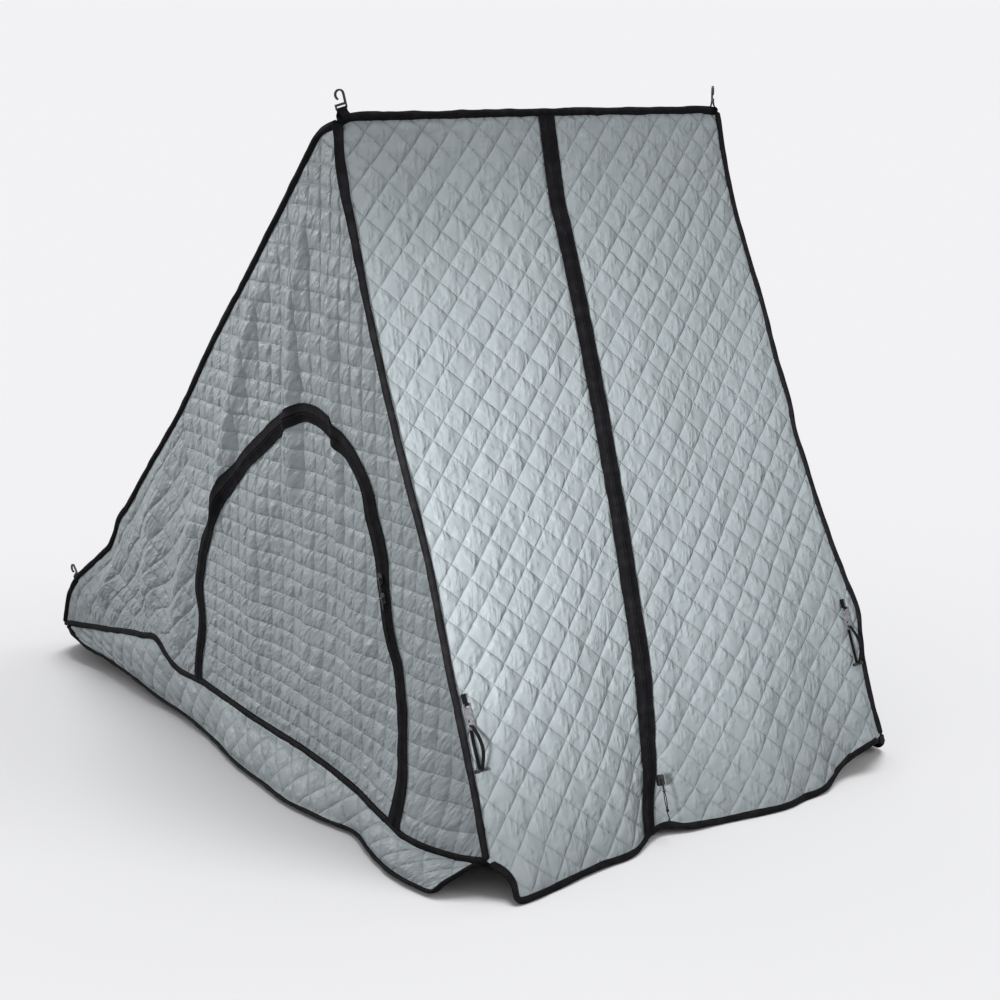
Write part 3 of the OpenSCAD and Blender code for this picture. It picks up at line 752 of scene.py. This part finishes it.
def door_path():
    """The door zip's line in the gable's plane, from its front foot over the head to its back foot."""
    v = np.linspace(DOOR_FOOT, LEG_TOP, 60)
    leg = np.stack([leg_u(v) + curve(LEG_WANDER, v), v], 1)
    top = np.array([leg_u(LEG_TOP), LEG_TOP])
    along = unit([leg_u(1.0) - leg_u(0.0), 1.0])
    head = np.array([HEAD_U, HEAD_V])
    t = np.linspace(0, 1, 24)
    shoulder = bezier(top, top + 0.09 * along, head + [0.09, 0], head, t)[1:]
    back_top = [BACK_LEG_U, BACK_TOP]
    back = bezier(head, head - [0.17, 0], [BACK_LEG_U, BACK_TOP + 0.23], back_top, t)[1:]
    sag = BACK_LEG_U + 0.012 * np.sin(np.linspace(0, 5, 24))
    down = np.stack([sag, np.linspace(BACK_TOP, DOOR_FOOT, 24)], 1)[1:]
    path = smoothed(resampled(np.concatenate([leg, shoulder, back, down]), STEP), 6)
    length = np.arange(len(path)) * STEP
    tangent = np.gradient(path, axis=0)
    across = np.stack([tangent[:, 1], -tangent[:, 0]], 1) / np.linalg.norm(tangent, axis=1)[:, None]
    hold = ease(np.abs(path[:, 1] - LEG_V), 0.03, 0.12) * ease(path[:, 1], 0.1, 0.2)
    sway = 0.006 * noise(length / 0.16, 0, 41) + 0.003 * noise(length / 0.05, 0, 42)
    return path + across * (sway * hold)[:, None], across


DOOR_PATH, DOOR_ACROSS = door_path()


def door_side(u, v):
    """Distance out of the door's line: negative inside the door."""
    shape = u.shape
    p = np.stack([u.ravel(), v.ravel()], 1)
    line, across = DOOR_PATH[::2], DOOR_ACROSS[::2]
    out = np.empty(len(p))
    for start in range(0, len(p), 4000):
        part = p[start : start + 4000]
        delta = part[:, None] - line[None]
        k = (delta**2).sum(-1).argmin(1)
        out[start : start + 4000] = np.einsum("ij,ij->i", delta[np.arange(len(part)), k], across[k])
    return out.reshape(shape)


# Folds that hang from the apex and the back seam: (height, place along the panel) keys, width, depth,
# and the heights where each starts, is full, starts to end and ends
FOLD_DEPTH = 1.5
FOLDS = [
    ([(0.6, -0.19), (0.9, -0.186), (1.05, -0.17), (1.25, -0.13), (1.5, -0.04)], 0.03, 0.016,
     (0.55, 0.72, 1.25, 1.45)),
    ([(0.5, 0.02), (0.8, 0.02), (1.1, 0.01), (1.3, -0.01)], 0.02, 0.01, (0.45, 0.65, 1.1, 1.3)),
    ([(0.45, -0.6), (0.7, -0.5), (0.95, -0.41), (1.15, -0.34), (1.35, -0.2)], 0.035, 0.018,
     (0.4, 0.6, 1.1, 1.35)),
    ([(0.05, -0.8), (0.25, -0.78), (0.45, -0.72), (0.6, -0.66)], 0.05, 0.016, (0.02, 0.12, 0.45, 0.62)),
    ([(0.1, -0.98), (0.3, -0.96), (0.56, -0.94), (0.8, -0.8)], 0.05, 0.016, (0.05, 0.2, 0.6, 0.8)),
    ([(0.1, -1.26), (0.25, -1.22), (0.42, -1.16)], 0.035, 0.016, (0.06, 0.16, 0.36, 0.46)),
    ([(0.1, -0.35), (0.4, -0.38), (0.7, -0.3)], 0.06, 0.008, (0.1, 0.25, 0.6, 0.75)),
    ([(0.1, -0.1), (0.4, -0.12), (0.7, -0.15)], 0.05, 0.008, (0.1, 0.25, 0.6, 0.75)),
    ([(0.1, 0.14), (0.4, 0.1), (0.7, 0.05)], 0.05, 0.006, (0.1, 0.25, 0.55, 0.7)),
]


def gable_base(u, v, seams):
    """A gable and its door without quilting, with their folds."""
    points = pulled(GABLE.at(u, v), seams)
    free = margin(GABLE.at(u, v), seams)
    slider = np.minimum(np.hypot(u - LEG_U, v - LEG_V), np.hypot(u - leg_u(LEG_V - 0.05), v - LEG_V + 0.05))
    swell = 0.012 * noise(u / 0.3 + 0.4, v / 0.6, 51) + 0.006 * noise(u / 0.13, v / 0.35, 52)
    for keys, width, height, (start, full, last, end) in FOLDS:
        across = (u - curve(keys, v)) / width
        shown = ease(v, start, full) * (1 - ease(v, last, end))
        swell = swell + FOLD_DEPTH * height * ridge_of(across) * shown
    swell = swell * ease(free, 0.0, 0.12) * ease(slider, 0.02, 0.16)
    return points + swell[..., None] * GABLE.n


def gable_surface(u, v, seams):
    free = margin(GABLE.at(u, v), seams)
    to_zip = np.abs(door_side(u, v))
    hold = ease(np.minimum(free - 0.004, to_zip - 0.016), 0.0, 0.03)
    rear = 1 - ease(u + REAR_LEAN * v, *REAR_EDGE)
    square = pillows(u, v, SQUARE_PITCH)
    relief = PUFF * ((1 - rear) * square + rear * diamonds(u, v, GABLE_PITCH) - 0.4)
    relief += 0.0019 * noise((0.87 * u - 0.48 * v) / 0.012, (0.48 * u + 0.87 * v) / 0.04, 53)
    relief += 0.0008 * creases(u / 0.02, v / 0.06, 54)
    pucker = 0.004 * noise(v / 0.02, u / 0.06, 55) * np.exp(-free / 0.05)
    pucker += 0.004 * noise((u + v) / 0.02, (u - v) / 0.05, 56) * np.exp(-to_zip / 0.045)
    return gable_base(u, v, seams) + ((relief + pucker) * hold)[..., None] * GABLE.n


def gable_grid():
    rows, columns = int(GABLE_S * 0.985 / CELL), int((FRONT_U + BACK_U) * 0.9 / CELL)
    v = np.linspace(0, GABLE_S - 0.004, rows)[:, None]
    c = np.linspace(0, 1, columns)[None]
    share = 1 - v / GABLE_S
    u = -BACK_U * share * (1 - c) + FRONT_U * share * c
    return u, np.broadcast_to(v, u.shape), rows, columns


def kept(points, uv, faces, keep):
    """Only the faces whose corners are all kept, with unused points dropped."""
    faces = faces[keep[faces].all(1)]
    used = np.unique(faces)
    index = np.full(len(points), -1)
    index[used] = np.arange(len(used))
    return points[used], index[faces], uv[used]


gable_u, gable_v, gable_rows, gable_columns = gable_grid()
gable_uv = np.stack([gable_u, gable_v], -1).reshape(-1, 2)
gable_faces = grid_faces(gable_rows, gable_columns)
out_of_door = door_side(gable_u, gable_v).ravel()


def bend_door(obj, side):
    """Bakes the piece's place into its mesh; the line of the door's foot over its sill is set, but nothing
    bends.
    """
    start, end = GABLE.at(0.0, 0.018), GABLE.at(0.0, 0.13)
    if side > 0:
        start, end = np.array(mirrored(start)), np.array(mirrored(end))
    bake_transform(obj)


def boundary_tape(name, sign, side, seams):
    """A strip of zip tape beside the door's line: out of it where sign is 1, in it where it is -1."""
    length = np.arange(len(DOOR_PATH)) * STEP
    narrow = 0.82 + 0.18 * ease(DOOR_PATH[:, 1], 0.35, 0.6)
    foot = 1 + 0.35 * (1 - ease(DOOR_PATH[:, 1], 0.02, 0.16)) * (DOOR_PATH[:, 0] > 0)
    lines = []
    for across, height in DOOR_TAPE:
        d = sign * across * (narrow * foot if across > 0.006 else 1)
        d = d * (1 + 0.07 * noise(length / 0.04, 0, 61) * (across > 0.01))
        p = DOOR_PATH + DOOR_ACROSS * d[:, None]
        h = height + 0.0007 * noise(length / 0.02, across * 90, 62)
        lines.append(gable_base(p[:, 0], np.maximum(p[:, 1], 0.0), seams) + h[:, None] * GABLE.n)
    uv = pairs(length[:, None], DOOR_TAPE[None, :, 0])
    return grid_object(name, np.stack(lines, 1), uv, zip_tape, side > 0, flip=sign > 0, closed=True)


in_gable = out_of_door > 0.002
in_door = (out_of_door < -0.002) & (gable_uv[:, 1] < HEAD_V + 0.05) & (gable_uv[:, 1] > 0.006)
for side, word, seams in ((-1, "left", LEFT_SEAMS), (1, "right", RIGHT_SEAMS)):
    gable_points = gable_surface(gable_u, gable_v, seams).reshape(-1, 3)
    gable = kept(gable_points, gable_uv, gable_faces, in_gable)
    cloth = mesh_object(f"gable_fabric_{word}", *gable, gable_quilt, side > 0)
    declare(cloth, "quilt", f"gable_{word}")
    door = kept(gable_points, gable_uv, gable_faces, in_door)
    cloth = mesh_object(f"door_fabric_{word}", *door, gable_quilt, side > 0)
    declare(cloth, "quilt", f"door_{word}", body=None)
    bend_door(cloth, side)
    for place, sign, node in (("outer", 1, "frame"), ("inner", -1, "tape")):
        tape = boundary_tape(f"door_zip_{place}_{word}", sign, side, seams)
        declare(tape, "zip_tape", f"door_zip_{node}_{word}", body="root" if sign > 0 else None)
    bend_door(tape, side)


# -------- back


def back_surface(x, s):
    points = pulled(BACK.at(x, s), BACK_SEAMS)
    free = margin(BACK.at(x, s), BACK_SEAMS)
    swell = 0.012 * noise(x / 0.33, s / 0.5, 71) + 0.006 * noise(x / 0.15, s / 0.25, 72)
    hold = ease(free, 0.0, 0.03)
    relief = PUFF * (diamonds(x, s, PITCH) - 0.35) * (0.8 + 0.35 * noise(x / 0.25, s / 0.25, 73))
    relief += 0.0022 * noise((x + s) / 0.05, (x - s) / 0.016, 74)
    relief += 0.0016 * noise((x - s) / 0.04, (x + s) / 0.014, 75)
    relief += 0.004 * noise(s / 0.02, x / 0.06, 76) * np.exp(-free / 0.05)
    return points + (swell * ease(free, 0.0, 0.14) + relief * hold)[..., None] * BACK.n


BACK_CELL = CELL * 1.25
rows, columns = int(BACK_S / BACK_CELL), int(2 * HALF_BASE / BACK_CELL)
s = np.linspace(0, BACK_S, rows)[:, None]
c = np.linspace(-1, 1, columns)[None]
x = (HALF_BASE - LEAN * s / BACK_S) * c
s = np.broadcast_to(s, x.shape)
uv = np.stack([x, s], -1)
cloth = grid_object("back_fabric", back_surface(x, s), uv, quilt)
declare(cloth, "quilt", "back_panel")


# -------- skirts

# How far a side hem wanders out and up, in millimetres: tucked in at the back and out at the front
HEM_WAVE = [
    (0, -35, 0), (0.04, -46, 0), (0.075, -46, 0), (0.135, -24, 0), (0.2, 8, 0),
    (0.24, -6, 0), (0.28, -16, 0), (0.323, -24, 0), (0.4, -12, 0), (0.483, 2, 0),
    (0.575, 36, 0), (0.663, 56, 6), (0.774, 60, 14), (0.877, 66, 28),
    (0.955, 60, 40), (1, 50, 45),
]
FRONT_END = front_foot[1] + 0.075
BACK_END = BACK_Y - 0.17
SKIRT_ROWS = 22


def build_skirt(name, node, top, foot, bulge, side):
    """Cloth between a sill seam and its hem, as rows of points from top to foot, bulging out."""
    c = np.linspace(0, 1, SKIRT_ROWS)[:, None, None]
    points = top[None] * (1 - c) + foot[None] * c
    run = points[:, 1:] - points[:, :-1]
    run = np.concatenate([run, run[:, -1:]], 1)
    out = unit_rows(np.cross(run, (foot - top)[None]))
    out *= np.sign((out * bulge).sum(-1))[..., None]
    c = c[..., 0]
    hold = np.minimum(ease(c, 0, 0.2), ease(1 - c, 0, 0.2))
    a, b = np.broadcast_arrays(lengths(top)[None], c * np.linalg.norm(foot - top, axis=1)[None])
    relief = PUFF * (diamonds(a, b, PITCH) - 0.35) + 0.003 * noise(a / 0.03, b / 0.05, 81)
    relief += 0.010 * noise(a / 0.14, b / 0.3, 82) + 0.008 * np.sin(c * np.pi)
    points = points + (relief * hold)[..., None] * out
    flat = pairs(a, -b)
    cloth = grid_object(name, points, flat, quilt, side > 0)
    declare(cloth, "quilt", node)
    return points


def hem_path(points):
    """Down one end of a skirt, along its foot and up the other end."""
    path = np.concatenate([points[2:, 0], points[-1], points[-1:2:-1, -1]])
    return smoothed(resampled(path, STEP), 10)

t = np.linspace(0.004, 0.996, 330)
top = side_sill.at(t)
# A side skirt's ends slant: its foot is shorter than its top
foot_y = np.interp(t, [0.004, 0.996], [FRONT_END, BACK_END])
run = (foot_y - FRONT_END) / (BACK_END - FRONT_END)
wave = through([(key[0], key[1:]) for key in HEM_WAVE], run) / 1000
foot = np.stack([-HEM_X + wave[:, 0], foot_y, FOOT_Z + np.maximum(wave[:, 1], 0)], 1)
OUT_LEFT, OUT_BACK = [-0.9, 0, 0.3], [0, 0.9, 0.3]
hems = []
for side, word in SIDES:
    points = build_skirt(f"skirt_fabric_{word}", f"skirt_{word}", top, foot, np.array([-1.0, 0, 0.3]), side)
    hems.append((word, hem_path(points), side > 0, OUT_LEFT))

t = np.linspace(0.01, 0.99, 190)
back_x = np.interp(t, [0.01, 0.99], [-HALF_BASE + 0.08, HALF_BASE - 0.08])
foot = np.stack([back_x, hem_high.y - HEM_R + 0.01 * np.sin(back_x * 9), np.full(len(t), FOOT_Z)], 1)
points = build_skirt("skirt_fabric_back", "skirt_back", back_sill.at(t), foot, np.array([0, 1.0, 0.3]), -1)
hems.append(("back", hem_path(points), False, OUT_BACK))
for number, (word, path, mirror, out) in enumerate(hems):
    hem = bound_edge(f"hem_binding_{word}", path, 0.009, 0.015, out, 0.22, 90 + number, mirror)
    declare(hem, "binding", "hem_bindings")


# -------- bound seams


def bound_seam(name, seam, out, node, width, thickness, seed):
    t = np.linspace(0, 1, int(np.linalg.norm(seam.b - seam.a) / STEP))
    width = width(t) if callable(width) else width
    declare(bound_edge(name, seam.at(t), width, thickness, out, 0.16, seed), "binding", node)


def widening(t):
    return 0.016 + 0.008 * ease(t, 0.72, 0.98)


bound_seam("ridge_bound", ridge_seam, [0, -0.35, 0.94], "ridge_binding", 0.018, 0.02, 101)
for (side, word), seam in zip(SIDES, (front_left_seam, front_right_seam)):
    out = [side * 0.7, -0.7, 0.2]
    bound_seam(f"front_seam_{word}", seam, out, "corner_bindings_front", widening, 0.014, 103 + side)
for (side, word), seam in zip(SIDES, (back_left_seam, back_right_seam)):
    out = [side * 0.7, 0.5, 0.5]
    bound_seam(f"back_seam_{word}", seam, out, "corner_bindings_back", 0.017, 0.017, 106 + side)
path = side_sill.at(np.linspace(0, 1, 360))
for side, word in SIDES:
    sill = bound_edge(f"sill_bound_{word}", path, 0.017, 0.013, [-1, 0, 0.2], 0.16, 110, side > 0)
    declare(sill, "binding", "sill_bindings")
bound_seam("sill_bound_back", back_sill, [0, 1, 0.2], "sill_bindings", 0.016, 0.013, 112)


# -------- pull cords

CORD_D = 0.0022
# In millimetres from the pull's pin, to its side and up: one strand's route from the tab's eye to the knot
STRAND = [
    (2.0, -31.6), (2.1, -34), (2.2, -36), (2.4, -38.5), (2.6, -41), (2.7, -43.5), (2.8, -46), (2.77, -48.5),
    (2.7, -51), (2.57, -53.5), (2.4, -56), (2.15, -58.5), (1.9, -61), (1.7, -63), (1.5, -65), (1.4, -66.3),
    (1.3, -67.5),
]
# The bight through the eye joins the strands; its third number is out of the panel
BIGHT = [
    (2.0, -31.6, 0), (1.9, -30.2, 1.7), (1.1, -27.9, 1.5), (0, -26.3, 0), (-1.1, -27.9, -1.5),
    (-1.9, -30.2, -1.7), (-2.0, -31.6, 0),
]
KNOT_Y = -0.0716
TAIL = 0.022


class Pull:
    """A zip pull's own axes: side to side, up towards its slider, and out."""

    def __init__(self, joint, plane, mirror):
        self.at = np.array(joints[joint]["pos_m"])
        self.side = unit(joints[joint]["axis"])
        self.out = plane.n * ([-1, 1, 1] if mirror else [1, 1, 1])
        self.up = np.cross(self.out, self.side)
        if self.up[2] < 0:
            self.up = -self.up

    def point(self, x, y, z=0.0):
        return self.at + x * self.side + y * self.up + z * self.out


def round_curve(name, points, radius, material):
    data = bpy.data.curves.new(name, "CURVE")
    data.dimensions = "3D"
    data.bevel_depth = radius
    data.bevel_resolution = 3
    data.use_fill_caps = True
    spline = data.splines.new("POLY")
    spline.points.add(len(points) - 1)
    for place, p in zip(spline.points, points):
        place.co = (*p, 1)
    spline.use_smooth = True
    data.materials.append(material)
    return link(name, data)


def ball_mesh(name, centre, radii, axes, bumps=0.12):
    """A knot: a lumpy ball of cord, with a wrapped turn round it."""
    a = np.linspace(0.02, np.pi - 0.02, 18)[:, None]
    b = np.linspace(0, 2 * np.pi, 24, endpoint=False)[None]
    wrap = 1 + bumps * np.sin(3 * b + 4 * a) + 0.05 * noise(b * 2, a * 3, 7)
    ball = (np.sin(a) * np.cos(b) * wrap, np.cos(a) * np.ones_like(b), np.sin(a) * np.sin(b) * wrap)
    points = centre
    for spread, radius, axis in zip(ball, radii, axes):
        points = points + (spread * radius)[..., None] * axis
    return grid_object(name, points, pairs(b * 0.004, a * 0.004), cord_braid, closed=True)


for word, plane, mirror, joint, body, nodes in (
    ("front", FRONT, False, "front_pull_swing", "front_pull", "front_pull_{}"),
    ("door_left", GABLE, False, "door_left_pull_low_swing", "door_pull_low_left", "door_pull_{}_left"),
    ("door_right", GABLE, True, "door_right_pull_low_swing", "door_pull_low_right", "door_pull_{}_right"),
):
    pull = Pull(joint, plane, mirror)
    axes = (pull.side, pull.up, pull.out)
    knot = ball_mesh(f"pull_knot_{word}", pull.point(0, KNOT_Y), (0.0038, 0.0042, 0.0036), axes)
    route = [pull.point(0.0012 * math.sin(i * 0.9), KNOT_Y - 0.002 - i * TAIL / 8) for i in range(9)]
    tail = round_curve(f"pull_tail_{word}", route, 0.0012, cord_braid)
    bead_at = pull.point(0, KNOT_Y - TAIL - 0.003)
    bead = ball_mesh(f"pull_bead_{word}", bead_at, (0.0026, 0.005, 0.0026), axes, 0.05)
    route = [pull.point(*(0.001 * np.array(p))) for p in BIGHT]
    bight = round_curve(f"pull_bight_{word}", route, CORD_D / 2, cord_braid)
    declare(knot, "cord", nodes.format("knot"), body=body)
    for piece in (tail, bead, bight):
        declare(piece, "cord", body=body)
    for sign, hand in ((-1, "a"), (1, "b")):
        route = [pull.point(sign * x / 1000, y / 1000) for x, y in STRAND]
        strand = round_curve(f"pull_cord_{word}_{hand}", route, CORD_D / 2, cord_braid)
        declare(strand, "cord", nodes.format("cord"), body=body)


# -------- hook tabs and straps


def strap_band(name, points, across, width, thickness, node, body):
    """A flat strap with rounded edges, following points; across is its width's direction."""
    path = smoothed(resampled(points, 0.0018), 3)
    side = np.broadcast_to(unit(across), path.shape)
    out = unit_rows(np.cross(unit_rows(np.gradient(path, axis=0)), side))
    w, h = width / 2, thickness / 2
    lower = [(-w, -h * 0.3), (-w * 0.96, -h), (-w * 0.5, -h), (0, -h * 0.94), (w * 0.5, -h), (w * 0.96, -h),
             (w, -h * 0.3)]
    section = lower + [(-a, -b) for a, b in lower]
    return declare(swept(name, path, section, side, out, webbing), "webbing", node, body=body)


def hook_tab(word, away, drop, spread):
    """Webbing from a seam up round a hook's bar and back; drop and spread are how far to the seam."""
    joint = joints[f"hook_{word}_swing"]
    bar, axis = np.array(joint["pos_m"]), unit(joint["axis"])
    away = unit(away - np.dot(away, axis) * axis)
    side = np.cross(axis, away)
    half = [(spread, -drop - 0.012), (spread, -drop), (0.0034, -drop * 0.55), (0.003, -0.004), (0.0031, 0),
            (0.0022, 0.0022)]
    loop = half + [(0, 0.0031)] + [(-a, b) for a, b in half[::-1]]
    points = [bar + a * side + b * away for a, b in loop]
    strap_band(f"hook_webbing_{word}", points, axis, 0.025, 0.0017, "hook_tabs", "root")


hook_tab("ridge_left", np.array([-math.sin(math.radians(14)), 0, 1.0]), 0.014, 0.011)
hook_tab("ridge_right", np.array([0, 0, 1.0]), 0.014, 0.011)
hook_tab("back_left", BACK.n, 0.016, 0.006)
hook_tab("back_right", BACK.n, 0.016, 0.009)

# A strap set's two legs run from its buckle's slot to its toggle
ACROSS = np.array([1.0, 0, 0])
BUCKLE_SLOT = 0.0475
for side, word in SIDES:
    at = np.array(joints[f"strap_{word}_swing"]["pos_m"])
    low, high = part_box(f"strap_toggle_{word}")
    toggle = np.array((low + high) / 2)
    slot_at = at + unit(toggle - at) * BUCKLE_SLOT
    for sign, hand in ((-1, "a"), (1, "b")):
        t = np.linspace(0, 1, 24)
        arch = np.sin(np.pi * t)[:, None]
        out = 0.016 * (1 if sign > 0 else 0.25) * arch + sign * 0.0035
        points = slot_at + (toggle - slot_at)[None] * t[:, None]
        points = points + sign * 0.004 * arch * ACROSS + out * FRONT.n
        name = f"strap_leg_{word}_{hand}"
        strap_band(name, points, ACROSS, 0.009, 0.0014, f"strap_loop_{word}", f"strap_{word}")


# -------- finishes of the CAD nodes that stay

KEPT = {
    zip_metal: ("front_slider", "front_pull_tab", "door_slider", "door_pull_tab"),
    hook_plastic: ("hook_ridge", "hook_back", "strap_toggle"),
    smoke_plastic: ("strap_buckle",),
    webbing: ("strap_anchors",),
}
for name, node in frame["nodes"].items():
    for finish, starts in KEPT.items():
        if name.startswith(starts):
            node.data.materials.clear()
            node.data.materials.append(finish)
            if finish is webbing:
                node.data.uv_layers.new(name="cloth")


# -------- floor and light

# The floor reflects the room and the two wide lights up to the room's own brightness, so no horizon shows
ROOM = 0.888
SIDE_LIGHT, SIDE_FROM = 0.3, unit([0.5, -0.7, 0.62])
TOP_LIGHT, TOP_FROM = 0.8, unit([0.1, -0.1, 1])
floor_light = ROOM + SIDE_LIGHT * SIDE_FROM[2] + TOP_LIGHT * TOP_FROM[2]
floor_grey = ROOM / floor_light
floor_nodes = Nodes("floor", (floor_grey, floor_grey, floor_grey * 1.01), 1.0, Specular_IOR_Level=0.0)
bpy.ops.mesh.primitive_circle_add(vertices=96, radius=60, fill_type="NGON", location=(0, 0, -0.0005))
floor = bpy.context.object
floor.name = "floor"
floor.data.materials.append(floor_nodes.material)

world = bpy.data.worlds.new("studio")
bpy.context.scene.world = world
world.use_nodes = True
backdrop = world.node_tree.nodes["Background"]
backdrop.inputs["Color"].default_value = (ROOM, ROOM, ROOM * 1.018, 1)
backdrop.inputs["Strength"].default_value = 1.0


def lamp(name, kind, energy, away):
    """A light that shines from the direction away."""
    light = bpy.data.lights.new(name, kind)
    light.energy = energy
    obj = link(name, light)
    obj.rotation_euler = Vector(away).to_track_quat("Z", "Y").to_euler()
    return light, obj


# A light's radiance is what it adds to a white surface that faces it
for name, source, radiance in (("side", SIDE_FROM, SIDE_LIGHT), ("top", TOP_FROM, TOP_LIGHT)):
    light, _ = lamp(name, "SUN", radiance * math.pi, source)
    light.angle = math.radians(30)


def pool(name, lit, at, towards, radius, radiance):
    """A soft pool of light on lit's pieces alone."""
    away = Vector(at) - Vector(towards)
    light, obj = lamp(name, "SPOT", radiance * 4 * math.pi**2 * away.length**2, away)
    light.spot_size = 2 * math.atan(radius / away.length)
    light.spot_blend = 1.0
    light.shadow_soft_size = 0.3
    obj.location = at
    obj.light_linking.receiver_collection = lit


# The pools of light fall on the tent alone, so the floor stays even, and the front has its own
front_pieces, other_pieces = (bpy.data.collections.new(word) for word in ("front_pieces", "other_pieces"))
for obj in bpy.data.objects:
    if obj.type in ("MESH", "CURVE") and obj is not floor:
        in_front = obj.name.startswith(("front", "strap", "ridge", "hook")) or obj.name.endswith("_front")
        (front_pieces if in_front else other_pieces).objects.link(obj)

pool("front_pool", front_pieces, (-3.65, -2.9, 1.5), (-0.1, -0.8, 0.78), 1.12, 4.4)
pool("gable_pool", other_pieces, (-2.8, 2.4, 2.2), (-0.62, -0.05, 0.62), 1.8, 1.5)
pool("gable_fill", other_pieces, (-3.6, -2.4, 1.5), (-0.62, -0.3, 0.7), 1.5, 0.75)
pool("back_pool", other_pieces, (2.2, 3.6, 2.4), (0, 0.4, 0.8), 1.6, 1.0)
pool("right_pool", other_pieces, (3.0, 1.6, 2.4), (0.62, 0.0, 0.7), 1.6, 0.9)

bpy.context.scene.view_settings.view_transform = "Standard"
